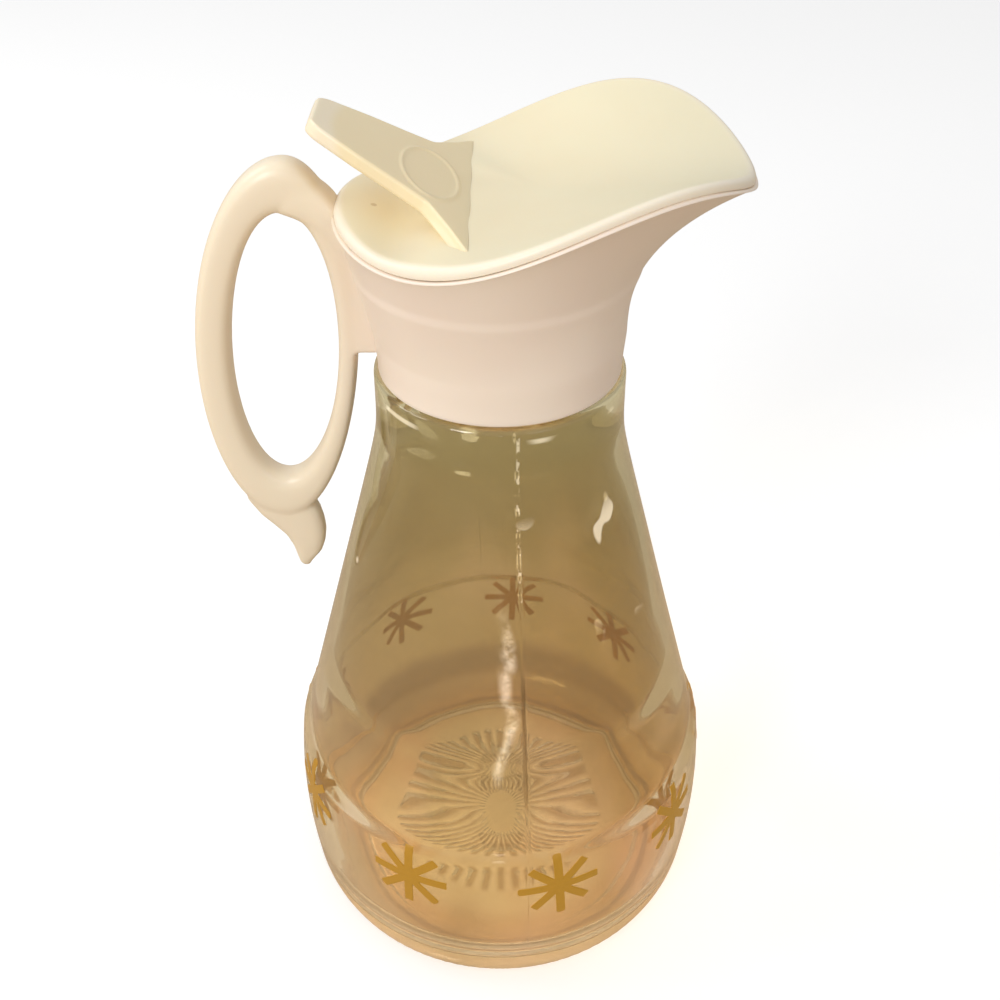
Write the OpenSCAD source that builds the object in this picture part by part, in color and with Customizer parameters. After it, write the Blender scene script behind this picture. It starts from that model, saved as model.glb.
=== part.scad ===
// Syrup dispenser: a clear glass bottle and a moulded pouring cap with a loop handle.
// A saddle-shaped lid covers the whole spout. It hinges at the back, a thumb lever
// opens it and a torsion spring closes it. The cap screws onto the neck of the bottle.
// Millimetres. The origin is the centre of the bottle's foot, +Z is up, +X is the spout.

/* [Bottle] */
// Widest radius of the bulb
bulb_r = 45.2; // [43:0.1:47]
// Height of the widest place
bulb_z = 24; // [22:0.5:28]
// Radius of the bulb's barrel curve
bulb_curve_r = 128; // [100:1:170]
// Height of the top of the bulb band
band_top_z = 40.4; // [38:0.2:46]
// Rise of the small shoulder above the band
step_h = 4.4; // [3:0.1:7]
// Outer radius of the foot ring
foot_out_r = 38.2; // [37.5:0.1:40]
// Inner radius of the foot ring
foot_in_r = 34.8; // [33.5:0.1:36]
// Height of the rounded heel
heel_h = 9; // [6:0.5:11]
// Radius of the cone just above the shoulder
cone_r = 42.3; // [40.5:0.1:43]
// Radius that the cone loses for each millimetre of height
cone_slope = 0.27; // [0.25:0.005:0.28]
// How far the neck stands out past the cap's collar
neck_proud = 0.75; // [0.3:0.05:1.1]
// Softness of the curve from cone to neck
neck_blend = 1.2; // [0.8:0.1:2.6]
// Height of the ledge under the cap
ledge_z = 130.6; // [128:0.1:134]
// Outer radius of the mouth inside the cap
finish_r = 18.7; // [18.4:0.05:19]
// Height of the mouth above the ledge
finish_h = 16.4; // [15:0.1:18]
// Glass thickness at the mouth
finish_wall = 3.3; // [2.6:0.1:4.2]
// Glass thickness in the upper body
glass_wall = 2.7; // [2:0.1:3.4]
// Glass thickness in the bulb
bulb_wall = 3.4; // [2.6:0.1:4.2]
// Height of the ring where the wall changes thickness
wave_z = 62; // [56:1:70]
// Height of the inside floor
floor_z = 6.4; // [5.6:0.1:8]
// Radius of the inside corner at the floor
floor_corner = 9; // [6:0.5:12]
// Rise of the pushed-up base
push_up = 3.2; // [2.6:0.1:3.8]

/* [Sunburst in the base] */
// Number of moulded rays
sun_rays = 40; // [24:1:48]
// Radius of the sunburst
sun_r = 24; // [18:0.5:28]
// Radius where the rays start
sun_hub_r = 3.5; // [2.5:0.1:5]
// Depth of the rays
sun_depth = 0.7; // [0.4:0.05:1]

/* [Cap collar] */
// Room for the thread between the mouth and the collar
thread_room = 1.3; // [1.1:0.05:1.5]
// Wall of the collar
collar_wall = 1.85; // [1.6:0.05:2.1]
// Gap between the ledge and the collar
collar_gap = 0.3; // [0.2:0.05:0.6]
// Height of the straight part of the collar
collar_h = 8.1; // [6:0.1:10]
// Width of the shelf's rim inside the mouth's bore
pour_rim = 2.9; // [2:0.1:6]
// Thickness of the shelf over the mouth
shelf_t = 1.8; // [1.4:0.1:2.4]

/* [Neck seal] */
// Thickness of the sealing washer
seal_t = 1.2; // [0.8:0.1:1.6]
// Clearance around the washer
seal_gap = 0.05; // [0.02:0.01:0.1]

/* [Pouring rim] */
// Centre of the rim's plan, ahead of the bottle's axis
rim_cx = 6.8; // [6:0.1:8]
// Half the length of the rim
rim_a = 34.5; // [33:0.1:35]
// Half the width of the rim
rim_b = 30.1; // [28.5:0.1:32]
// Mean height of the rim above the ledge
rim_rise = 36.1; // [34.4:0.1:37.4]
// Rise of the rim towards the spout
rim_tilt = 6; // [5:0.1:6.5]
// Dip of the rim at both ends
rim_sag = 1.4; // [1:0.1:2.2]
// Wave of the rim, high at the cheeks and low behind them
rim_wave = 2.9; // [2.4:0.1:3.4]
// Small extra ripple of the rim, four waves to a turn
rim_ripple = 0.3; // [0:0.05:0.5]
// How late the funnel flares at the back
flare_back = 1.1; // [1.05:0.05:1.6]
// How much later it flares under the spout
flare_spout = 1.7; // [1:0.1:2.4]
// Wall of the funnel
cap_wall = 1.9; // [1.5:0.1:2.2]
// Width of the funnel's top lip
lip_w = 2.2; // [1.8:0.1:2.6]

/* [Lid] */
// Thickness of the lid
lid_t = 2.2; // [1.8:0.1:2.4]
// Height of the lid's outer edge
lid_edge = 2; // [1.8:0.1:2.4]
// Rounding of the lid's edge
lid_round = 1.4; // [1:0.1:1.7]
// Setback of the lid from the funnel's lip
lid_inset = 0.5; // [0.3:0.1:0.8]
// Gap between the lid and the funnel
lid_gap = 0.3; // [0.2:0.05:0.4]
// Depth of the dish behind the lever
dish_depth = 2; // [1.4:0.1:2.4]
// Place of the dish along the lid
dish_x = -15.5; // [-17:0.1:-14]
// Half the length of the dish
dish_len = 6; // [5:0.1:7]
// Depth of the trough along the spout
trough_depth = 1.6; // [0.8:0.1:2]
// Place of the trough along the lid
trough_x = 8; // [5:0.5:11]
// Half the length of the trough
trough_len = 20; // [16:0.5:24]
// Depth of the locating skirt under the lid
skirt_h = 2.4; // [1.6:0.1:3]
// Thickness of the locating skirt
skirt_t = 1.6; // [1.2:0.1:2]

/* [Thumb lever] */
// Slope of the lever's plate in degrees
lever_slope = 29.5; // [27:0.5:31]
// Place of the line where the plate meets the lid
lever_front_x = -4.8; // [-6:0.1:-3.5]
// Half the width of that line
lever_front_w = 22.4; // [20.5:0.1:23]
// Half the width where the flare starts
lever_neck_w = 11.8; // [11:0.1:13]
// Half the width of the tab's end
lever_tab_w = 6.6; // [5.5:0.1:7.5]
// Length of the plate along its slope
lever_len = 27.9; // [26.5:0.1:28.8]
// Length of the flared root along the slope
lever_root_len = 7.2; // [6:0.1:9]
// Thickness of the plate
lever_t = 2.3; // [2:0.1:2.8]

/* [Hinge] */
// Distance of the hinge pin behind the bottle's axis
hinge_x = -24; // [-24.3:0.05:-23.8]
// Height of the hinge pin above the ledge
hinge_rise = 28.3; // [28.1:0.05:28.5]
// Radius of the pin
pin_r = 0.75; // [0.6:0.05:0.8]
// Length of the pin
pin_len = 13.4; // [12.4:0.1:13.8]
// Radial clearance of the pin in the lid
pin_clear = 0.05; // [0.02:0.01:0.08]
// Radius of the lid's knuckles
knuckle_r = 1.9; // [1.8:0.05:2]
// Length of one knuckle
knuckle_len = 1.7; // [1.4:0.1:1.8]
// Half the space for the spring's coil
coil_half = 2.2; // [2.1:0.1:2.4]
// Radius of the recess about the pin, where the lid's back edge swings
recess = 4.15; // [4.1:0.05:4.4]
// Half the width of that recess
recess_half = 13.5; // [12:0.1:14]
// Height of the webs under the bosses
boss_drop = 5.4; // [4:0.1:6]

/* [Return spring] */
// Radius of the spring's wire
wire_r = 0.25; // [0.2:0.01:0.28]
// Mean radius of the coil
coil_r = 1.25; // [1.15:0.01:1.3]
// Number of turns
coil_turns = 6; // [4:1:6]
// Length of the leg that holds the lid
lid_leg = 8; // [6:0.1:9]
// Length of the leg that rests on the funnel's wall
wall_leg = 5.4; // [4:0.1:5.8]

/* [Handle] */
// Centre of the finger hole, behind the bottle's axis
hole_x = -38.3; // [-39:0.1:-37.8]
// Height of the centre of the finger hole above the ledge
hole_rise = 2.4; // [0.4:0.5:4.4]
// Half the width of the finger hole
hole_w = 9.6; // [8.5:0.1:10]
// Half the height of the finger hole
hole_h = 26.6; // [24:0.1:27.5]
// Lean of the loop, sideways for each millimetre up
loop_lean = 0.09; // [0.06:0.01:0.12]
// Thickness of the outer strip
strip_out = 6.2; // [5.5:0.1:7.5]
// Thickness of the inner strip
strip_in = 3.4; // [3:0.1:4.2]
// Height of the grip above the finger hole
loop_top = 8.9; // [7.5:0.1:9.5]
// Height of the loop below the finger hole
loop_low = 10; // [8:0.1:12]
// Half the width of the outer strip, across the handle
strip_w = 3.4; // [2.8:0.1:3.8]
// Half the thickness of the web beside the collar
web_w = 2.8; // [1.6:0.1:3]

/* [Hidden] */
$fn = 96;

// Steps round a lofted ring
ring_n = 60;
ring_da = 360 / ring_n;

function smooth(a, b, x) =
    let (t = min(max((x - a) / (b - a), 0), 1)) t * t * (3 - 2 * t);
function soft(x, k) = (x + sqrt(x * x + k * k)) / 2;
function unit(v) = v / norm(v);
function flat(rings) = [for (ring = rings) each ring];
function turned(rings) = [for (i = [len(rings) - 1 : -1 : 0]) rings[i]];

// A closed skin over rings of n points each, capped at both ends. The points of a ring
// run anticlockwise when they are seen from the ring that comes next.
module loft(rings, n) {
    rows = len(rings);
    sides = [for (j = [0 : rows - 2], i = [0 : n - 1])
        let (a = j * n + i, b = j * n + (i + 1) % n)
        each [[a, a + n, b + n], [a, b + n, b]]];
    caps = [[for (i = [0 : n - 1]) i], [for (i = [n - 1 : -1 : 0]) (rows - 1) * n + i]];
    polyhedron(flat(rings), concat(sides, caps), convexity = 10);
}

// A closed skin over rings whose last ring joins the first, such as a hoop
module hoop(rings, n) {
    rows = len(rings);
    faces = [for (j = [0 : rows - 1], i = [0 : n - 1])
        let (k = (j + 1) % rows, a = j * n + i, b = j * n + (i + 1) % n,
             c = k * n + i, d = k * n + (i + 1) % n)
        each [[a, c, d], [a, d, b]]];
    polyhedron(flat(rings), faces, convexity = 10);
}

// Bottle

finish_top = ledge_z + finish_h;
mouth_r = finish_r - finish_wall;
bore_r = finish_r + thread_room;
collar_r = bore_r + collar_wall;
neck_r = collar_r + neck_proud;
pour_r = mouth_r - pour_rim;
rim_z = ledge_z + rim_rise;
hinge_z = ledge_z + hinge_rise;
hole_z = ledge_z + hole_rise;
cone_z = band_top_z + step_h;

function band(z) = bulb_r - pow(z - bulb_z, 2) / (2 * bulb_curve_r);
function cone(z) = neck_r + soft(cone_r - cone_slope * (z - cone_z) - neck_r, neck_blend);
function glass_out(z) =
    let (s = smooth(band_top_z, cone_z, z)) band(min(z, cone_z)) * (1 - s) + cone(z) * s;

// The inside follows the outside, but softens the shoulder and narrows into the mouth
function glass_in(z) =
    let (s = smooth(band_top_z - 5, cone_z + 6, z),
         wall = bulb_wall + (glass_wall - bulb_wall) * smooth(wave_z - 4, wave_z + 4, z),
         body = band(min(z, cone_z + 6)) * (1 - s) + cone(z) * s - wall,
         m = smooth(ledge_z - 12, ledge_z - 1, z))
    body * (1 - m) + mouth_r * m;

module glass_section() {
    corner_z = floor_z + floor_corner;
    bend_z = ledge_z - 18.6;
    corner_r = glass_in(corner_z) - floor_corner;
    lip = 1.2;
    outside = concat(
        [[0, push_up], [sun_r, push_up - 0.5], [foot_in_r - 2, push_up - 1],
         [foot_in_r - 0.5, 0.5], [foot_in_r, 0]],
        [for (a = [0 : 15 : 75])
            [foot_out_r + (band(heel_h) - foot_out_r) * sin(a), heel_h * (1 - cos(a))]],
        [for (i = [0 : 7]) let (z = heel_h + (band_top_z - heel_h) * i / 7) [band(z), z]],
        [for (i = [1 : 5]) let (z = band_top_z + step_h * i / 5) [glass_out(z), z]],
        [for (i = [1 : 6]) let (z = cone_z + (bend_z - 4 - cone_z) * i / 6) [cone(z), z]],
        [for (i = [0 : 5]) let (z = bend_z + (ledge_z - 3.6 - bend_z) * i / 5) [cone(z), z]],
        [for (a = [0 : 30 : 90])
            [cone(ledge_z - 1) - 1 + cos(a), ledge_z - 1 + sin(a)]],
        [[finish_r, ledge_z], [finish_r, finish_top - lip]],
        [for (a = [30 : 30 : 90])
            [finish_r - lip + lip * cos(a), finish_top - lip + lip * sin(a)]]);
    inside = concat(
        [[mouth_r + 0.6, finish_top], [mouth_r, finish_top - 0.6]],
        [for (i = [0 : 6]) let (z = ledge_z - 1 - 11 * i / 6) [glass_in(z), z]],
        [for (i = [0 : 4]) let (z = bend_z - (bend_z - wave_z - 10) * i / 4) [glass_in(z), z]],
        [for (i = [0 : 5]) let (z = wave_z + 5 - 2 * i) [glass_in(z), z]],
        [for (i = [0 : 6]) let (z = cone_z + 6 - (11 + step_h) * i / 6) [glass_in(z), z]],
        [for (i = [1 : 3])
            let (z = band_top_z - 5 - (band_top_z - 5 - corner_z) * i / 3) [glass_in(z), z]],
        [for (a = [15 : 15 : 90])
            [corner_r + floor_corner * cos(a), corner_z - floor_corner * sin(a)]],
        [[0, floor_z + 0.8]]);
    polygon(concat(outside, inside));
}

module glass_bottle() {
    ray_z = push_up - 0.5 + sun_depth;
    ray_a = 360 / sun_rays / 4;
    end_r = sun_r - 0.6;
    color("lightgoldenrodyellow", 0.5) difference() {
        rotate_extrude() glass_section();
        for (i = [0 : sun_rays - 1]) rotate(i * 360 / sun_rays) linear_extrude(ray_z)
            polygon([[sun_hub_r, 0], [end_r * cos(ray_a), -end_r * sin(ray_a)],
                     [end_r * cos(ray_a), end_r * sin(ray_a)]]);
    }
}

// Neck seal

collar_z = ledge_z + collar_gap;
shelf_z = finish_top + seal_t + 2 * seal_gap;

module neck_seal() {
    color("lightgray") translate([0, 0, finish_top + seal_gap]) rotate_extrude()
        polygon([[mouth_r + 0.2, 0], [finish_r - 0.3, 0],
                 [finish_r - 0.3, seal_t], [mouth_r + 0.2, seal_t]]);
}

// Rim: an oval in plan whose height swings three ways round it

function rim_xy(a, inset) =
    [rim_cx + (rim_a - inset) * cos(a), (rim_b - inset) * sin(a)];
function rim_top(a) =
    rim_z + rim_tilt * cos(a) - rim_sag * cos(2 * a) - rim_wave * cos(3 * a)
    - rim_ripple * cos(4 * a);

// Funnel: each side of it flares from the collar's circle to the rim

funnel_r = collar_r + 0.15;
funnel_z = collar_z + collar_h - 0.6;
seat_r = bore_r + 0.9;

function lip_z(a) = rim_top(a) - lid_edge - lid_gap;
function flare(a) = flare_back + flare_spout * pow((1 + cos(a)) / 2, 2);
function funnel(a, t) =
    let (g = 0.93 * pow(t, flare(a)) + 0.07 * pow(t, 9), low = funnel_r * [cos(a), sin(a)],
         xy = low + (rim_xy(a, 0) - low) * g)
    [xy[0], xy[1], funnel_z + (lip_z(a) - funnel_z) * t];
function funnel_in(a, t) =
    let (du = funnel(a + 1, t) - funnel(a - 1, t),
         dt = funnel(a, t + 0.01) - funnel(a, t - 0.01))
    funnel(a, t) - cap_wall * unit(cross(du, dt));
function at_height(a, z) = (z - funnel_z) / (lip_z(a) - funnel_z);

module funnel_shell() {
    angles = [for (i = [0 : ring_n - 1]) i * ring_da];
    start = shelf_z + 0.5;
    outer = [for (t = [0, 0.18, 0.34, 0.48, 0.6, 0.7, 0.79, 0.87, 0.94, 1])
        [for (a = angles) funnel(a, t)]];
    lip = [[for (a = angles) let (q = rim_xy(a, lip_w)) [q[0], q[1], lip_z(a)]]];
    inner = [for (k = [1 : -0.2 : 0])
        [for (a = angles) let (s = at_height(a, start)) funnel_in(a, s + (0.93 - s) * k)]];
    seat = [for (z = [shelf_z - 0.4, funnel_z])
        [for (a = angles) [seat_r * cos(a), seat_r * sin(a), z]]];
    rings = concat(outer, lip, inner, seat);
    hoop([for (ring = rings) ring], ring_n);
}

module collar() {
    top_z = shelf_z + shelf_t;
    back_r = bore_r + 1.3;
    rotate_extrude() polygon([[bore_r, collar_z], [collar_r, collar_z],
        [collar_r, collar_z + collar_h], [back_r, collar_z + collar_h],
        [back_r, shelf_z - 0.6], [back_r + 1.4, shelf_z + 0.3], [back_r + 1.4, top_z],
        [pour_r, top_z], [pour_r, shelf_z], [bore_r, shelf_z]]);
}

// Handle

loop_n = 56;
round_n = 12;

function lean(z) = loop_lean * (z - hole_z);
function hole_edge(a) =
    let (z = hole_z + hole_h * sin(a)) [hole_x + hole_w * cos(a) + lean(z), z];
function loop_edge(a) =
    let (w = hole_w + (cos(a) < 0 ? strip_out : strip_in),
         h = hole_h + (sin(a) > 0 ? loop_top : loop_low),
         z = hole_z + h * sin(a))
    [hole_x + w * cos(a) + lean(z), z];

// One rounded section: centre, half-height along its own up direction, half-width across
function section(c, up, h, w) = [for (i = [0 : round_n - 1])
    let (b = i * 360 / round_n,
         s = pow(abs(cos(b)), 0.68) * sign(cos(b)), q = pow(abs(sin(b)), 0.68) * sign(sin(b)))
    [c[0] + up[0] * h * s, w * q, c[1] + up[1] * h * s]];

module handle_loop() {
    hoop([for (i = [0 : loop_n - 1])
        let (a = i * 360 / loop_n, e = hole_edge(a), o = loop_edge(a),
             w = strip_w - 0.4 * soft(cos(a), 0.3))
        section((e + o) / 2, unit(o - e), norm(o - e) / 2, w)], round_n);
}

module handle_arm() {
    up = [-0.2, 0.98];
    top = [hole_x + 4.3, hole_z + hole_h + 2.7];
    back = [hinge_x - 0.5, hinge_z - 5.7];
    loft([for (t = [1, 0.75, 0.5, 0.25, 0])
        let (c = top + (back - top) * t + [0, 2 * sin(180 * t)],
             h = 3.6 + 2.1 * t - 0.8 * sin(180 * t))
        section(c, unit([0.6, 0.8] + (up - [0.6, 0.8]) * t), h, strip_w + 0.3 * t)],
        round_n);
}

module handle_tail() {
    root = [hole_x - 3.4, hole_z - hole_h - 4.6];
    loft([for (t = [1, 0.93, 0.8, 0.6, 0.4, 0.2, 0])
        let (c = root + [3.4 * t - 0.6 * t * t, -19 * t] + [1.3 * sin(180 * t), 0],
             h = (4.6 - 2.5 * t) * (t < 0.93 ? 1 : 0.55),
             w = (strip_w - 0.3 - 1.4 * t) * (t < 0.93 ? 1 : 0.6))
        section(c, unit([1, 0.45 - 0.3 * t]), h, w)], round_n);
}

module handle_web() {
    low_z = collar_z + 2.8;
    inner_x = -(bore_r + 0.9);
    translate([0, web_w, 0]) rotate([90, 0, 0]) linear_extrude(2 * web_w)
        polygon([[inner_x, low_z], [inner_x, low_z + 12.3], [hinge_x + 1.6, low_z + 17.3],
                 [hinge_x, hinge_z - 2.4], [hinge_x - 7, hinge_z - 1.9],
                 [hole_x + hole_w + 1.6, low_z + 12.3], [hole_x + hole_w + 1.6, low_z]]);
}

// Hinge, all of it named from the pin's axis

boss_r = pin_r + 0.75;
boss_in = coil_half + 0.1 + knuckle_len + 0.3;
boss_out = pin_len / 2 + 0.1;
pocket_r = boss_r + 0.35;
pocket_half = boss_out + 0.3;

// A round bar along the hinge's axis, from one distance across to another
module hinge_bar(r, from, to) {
    translate([hinge_x, to, hinge_z]) rotate([90, 0, 0]) cylinder(r = r, h = to - from);
}

module boss_pair() {
    for (s = [-1, 1]) {
        low = min(s * boss_in, s * boss_out);
        high = max(s * boss_in, s * boss_out);
        hinge_bar(boss_r, low, high);
        translate([hinge_x - 0.3, low, hinge_z - boss_drop])
            cube([boss_r + 0.2, high - low, boss_drop]);
    }
}

// Room for the back edge of the lid, which dips and swings back as the lid opens
module back_room() {
    translate([hinge_x, recess_half, hinge_z]) rotate([90, 0, 0])
        linear_extrude(2 * recess_half) polygon(recess * concat(
            [[0.12, 0.05], [-0.82, -0.36]],
            [for (a = [192, 184, 175, 166, 158, 150]) [cos(a), sin(a)]],
            [[-0.84, 0.65], [-0.83, 0.9], [-0.83, 2.9], [0.12, 2.9]]));
}

module cap_body() {
    color("ivory") difference() {
        union() {
            difference() {
                union() {
                    funnel_shell();
                    collar();
                    handle_loop();
                    handle_arm();
                    handle_tail();
                    handle_web();
                }
                back_room();
                // Room for the lid's knuckles
                hinge_bar(knuckle_r + 0.35, -boss_in + 0.02, boss_in - 0.02);
            }
            boss_pair();
        }
        hinge_bar(pin_r + 0.02, -boss_out - 2, boss_out + 2);
    }
}

// Lid

function mid_z(x) =
    rim_top(180) + (rim_top(0) - rim_top(180)) * (x - rim_cx + rim_a) / (2 * rim_a)
    - dish_depth * exp(-pow((x - dish_x) / dish_len, 2))
    - trough_depth * exp(-pow((x - trough_x) / trough_len, 2));
function lid_point(a, p, drop) =
    let (q = rim_xy(a, lid_inset), edge = rim_cx + (rim_a - lid_inset) * cos(a),
         x = rim_cx + (q[0] - rim_cx) * p, y = q[1] * p)
    [x, y, mid_z(x) + (rim_top(a) - mid_z(edge)) * p * p - drop];
// The share of the rim's radius that lies a distance in from the edge
function share(inset) = 1 - inset / (rim_b - lid_inset);
// The skirt keeps clear of the funnel's wall, which is shallow under the spout
function skirt_in(a) = lip_w + lid_gap + 0.6 + 4.4 * pow((1 + cos(a)) / 2, 4);
function edge_point(a, inset, drop) =
    let (q = lid_point(a, share(inset), 0)) [q[0], q[1], rim_top(a) - drop];
// The lid dives inwards at the cheeks, and the skirt's root stays under its top there
function skirt_root(a) =
    max(lid_edge, rim_top(a) - lid_point(a, share(skirt_in(a)), 0)[2] + 0.6 * lid_t);
function skirt_foot(a) = max(lid_edge + skirt_h, skirt_root(a) + 0.25 * skirt_h);

module lid_shell() {
    angles = [for (i = [0 : ring_n - 1]) i * ring_da];
    flange = lip_w + lid_gap - lid_inset + 0.2;
    top = [for (p = [0.04, 0.2, 0.36, 0.52, 0.66, 0.78, 0.88])
        [for (a = angles) lid_point(a, p, 0)]];
    edge = [for (b = [0 : 30 : 90])
        [for (a = angles)
            lid_point(a, share(lid_round * (1 - sin(b))), lid_round * (1 - cos(b)))]];
    side = [[for (a = angles) lid_point(a, 1, lid_edge)],
            [for (a = angles) edge_point(a, flange, lid_edge)],
            [for (a = angles) edge_point(a, skirt_in(a), skirt_root(a))],
            [for (a = angles) edge_point(a, skirt_in(a) + 0.15, skirt_foot(a))],
            [for (a = angles) edge_point(a, skirt_in(a) + skirt_t, skirt_foot(a))]];
    under = [for (p = [1, 0.86, 0.7, 0.52, 0.34, 0.16, 0.04])
        [for (a = angles) lid_point(a, p * share(skirt_in(a) + skirt_t + 0.2), lid_t)]];
    loft(turned(concat(top, edge, side, under)), ring_n);
}

lever_front_z = mid_z(lever_front_x);

// Puts a plate that is drawn flat, with x towards the thumb, onto the lever's slope
module on_slope() {
    translate([lever_front_x, 0, lever_front_z]) rotate([0, lever_slope, 0]) mirror([1, 0, 0])
        children();
}

module lever_plate() {
    tab = lever_len;
    cut = 2;
    belly = lever_root_len + 4.8;
    waist = lever_root_len + 0.56 * (tab - lever_root_len);
    waist_w = lever_tab_w + 2.4;
    on_slope() translate([0, 0, -lever_t]) linear_extrude(lever_t)
        polygon([[lever_root_len - 1, -lever_neck_w - 1], [lever_root_len, -lever_neck_w],
                 [belly, -waist_w - 1.9], [waist, -waist_w],
                 [tab - 3, -lever_tab_w - 0.3], [tab - cut, -lever_tab_w],
                 [tab, -lever_tab_w + cut], [tab, lever_tab_w - cut],
                 [tab - cut, lever_tab_w], [tab - 3, lever_tab_w + 0.3],
                 [waist, waist_w], [belly, waist_w + 1.9], [lever_root_len, lever_neck_w],
                 [lever_root_len - 1, lever_neck_w + 1]]);
}

module lever_root() {
    back = lever_root_len * cos(lever_slope);
    difference() {
        translate([0, 0, lever_front_z - 1.4]) linear_extrude(2 + back)
            polygon([[lever_front_x, -lever_front_w], [lever_front_x, lever_front_w],
                     [lever_front_x - back * 0.45, lever_front_w - 4.6],
                     [lever_front_x - back, lever_neck_w],
                     [lever_front_x - back, -lever_neck_w],
                     [lever_front_x - back * 0.45, -lever_front_w + 4.6]]);
        on_slope() translate([-lever_len, -2 * lever_front_w, 0])
            cube([2 * lever_len, 4 * lever_front_w, lever_len]);
    }
}

// The lever's underside runs down to the lid in a ramp behind the root
module lever_ramp() {
    back = lever_root_len * cos(lever_slope);
    end = lever_root_len + 4;
    half = lever_tab_w + 0.6;
    hull() {
        translate([lever_front_x - back, -half, lever_front_z - 1.5])
            cube([0.6, 2 * half, 1.2]);
        on_slope() translate([lever_root_len - 0.6, -half, -lever_t])
            cube([0.6, 2 * half, 0.5]);
        on_slope() translate([end, -lever_tab_w, -lever_t])
            cube([0.3, 2 * lever_tab_w, 0.5]);
    }
}

// The hook that the spring's leg pulls on
module spring_keeper() {
    post = 0.7;
    half = wire_r + 0.35;
    x = hinge_x + 6;
    z = hinge_z - 3.1;
    difference() {
        translate([x, -half - post, z]) cube([1.2, 2 * (half + post), 3.5]);
        translate([x - 1, -half, z + 0.7]) cube([3.2, 2 * half, 1.1]);
    }
}

module lid() {
    color("cornsilk") difference() {
        union() {
            difference() {
                union() {
                    lid_shell();
                    lever_plate();
                    lever_root();
                    lever_ramp();
                }
                translate([hinge_x - 6, -recess_half - 0.5, hinge_z - 6])
                    cube([9, 2 * recess_half + 1, 6.3]);
                hinge_bar(pocket_r, -pocket_half, pocket_half);
            }
            hinge_bar(knuckle_r, coil_half + 0.1, coil_half + 0.1 + knuckle_len);
            hinge_bar(knuckle_r, -coil_half - 0.1 - knuckle_len, -coil_half - 0.1);
            spring_keeper();
        }
        hinge_bar(pin_r + pin_clear, -pocket_half, pocket_half);
    }
}

module hinge_pin() {
    color("silver") hinge_bar(pin_r, -pin_len / 2, pin_len / 2);
}

// Return spring: one wire, from the leg on the wall, round the pin, to the leg on the lid

wire_n = 6;
coil_pitch = 2 * wire_r + 0.08;
coil_a0 = -15;
coil_a1 = 270 + 360 * (coil_turns - 1);

function coil_at(a) =
    let (y = coil_pitch * (a - coil_a0) / 360 - coil_pitch * (coil_a1 - coil_a0) / 720)
    [hinge_x + coil_r * cos(a), y, hinge_z + coil_r * sin(a)];
function wire_path() =
    let (first = coil_at(coil_a0), last = coil_at(coil_a1), steps = coil_turns * 8)
    concat(
        [for (t = [1 : -0.25 : 0.25]) first + wall_leg * t * [0.06, 0, -1]],
        [for (i = [0 : steps]) coil_at(coil_a0 + (coil_a1 - coil_a0) * i / steps)],
        [for (t = [0.2 : 0.2 : 1])
            last + [lid_leg * t, -last[1] * smooth(0, 0.7, t), -0.7 * t]]);

module return_spring() {
    path = wire_path();
    n = len(path);
    side = [0, 1, 0];
    color("gray") loft([for (i = [0 : n - 1])
        let (d = unit(path[min(i + 1, n - 1)] - path[max(i - 1, 0)]),
             u = unit(cross(side, d)), v = cross(d, u))
        [for (k = [0 : wire_n - 1])
            path[i] + wire_r * (u * cos(k * 360 / wire_n) + v * sin(k * 360 / wire_n))]],
        wire_n);
}

glass_bottle();
neck_seal();
cap_body();
lid();
hinge_pin();
return_spring();
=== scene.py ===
# %% [markdown]
# # A syrup dispenser, piece by piece
# The real object is a pressed glass bottle with a moulded ivory cap, a loop handle and a
# saddle-shaped lid on a hinge. The imported CAD model is the frame: it fixes every size, so the
# first step loads it and keeps its parts. All lengths below are in millimetres, as a mould maker
# would note them, and each mesh is brought to metres when it is made.

# %% Load the frame
import math
import bpy
import numpy as np
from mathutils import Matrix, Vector

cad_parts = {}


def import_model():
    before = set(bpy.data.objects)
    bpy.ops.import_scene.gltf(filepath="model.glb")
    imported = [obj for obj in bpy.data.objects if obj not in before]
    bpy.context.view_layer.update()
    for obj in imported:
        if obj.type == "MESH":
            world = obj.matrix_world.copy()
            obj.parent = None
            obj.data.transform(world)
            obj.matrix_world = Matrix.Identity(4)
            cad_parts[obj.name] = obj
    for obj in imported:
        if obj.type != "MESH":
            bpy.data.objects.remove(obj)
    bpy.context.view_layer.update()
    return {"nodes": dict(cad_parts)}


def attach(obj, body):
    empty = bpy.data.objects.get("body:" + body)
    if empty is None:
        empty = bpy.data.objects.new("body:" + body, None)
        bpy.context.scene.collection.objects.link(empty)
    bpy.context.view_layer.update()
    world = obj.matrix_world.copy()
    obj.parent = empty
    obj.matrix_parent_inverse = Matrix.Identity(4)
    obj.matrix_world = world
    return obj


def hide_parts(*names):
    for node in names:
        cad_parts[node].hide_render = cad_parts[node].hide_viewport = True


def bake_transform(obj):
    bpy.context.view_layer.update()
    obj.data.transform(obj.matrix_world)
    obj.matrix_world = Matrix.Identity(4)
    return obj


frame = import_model()

# %% [markdown]
# ## The camera
# The photograph looks down on the dispenser from the front, from about 25 cm away. The camera
# comes first, so that every later piece can be looked at as it is made.

# %% Camera
LENS, SENSOR, LOOK_DOWN, CAMERA_AT = 42.37, 36.0, 37.87, (0, -0.1824, 0.2408)


def make_camera():
    """A camera that looks along +y, tipped down by so many degrees."""
    lens = bpy.data.cameras.new("camera")
    lens.lens, lens.sensor_width = LENS, SENSOR
    lens.clip_start, lens.clip_end = 0.01, 20
    camera = bpy.data.objects.new("camera", lens)
    camera.location = CAMERA_AT
    camera.rotation_euler = (math.radians(90 - LOOK_DOWN), 0, 0)
    bpy.context.scene.collection.objects.link(camera)
    bpy.context.scene.camera = camera
    return camera


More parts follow.
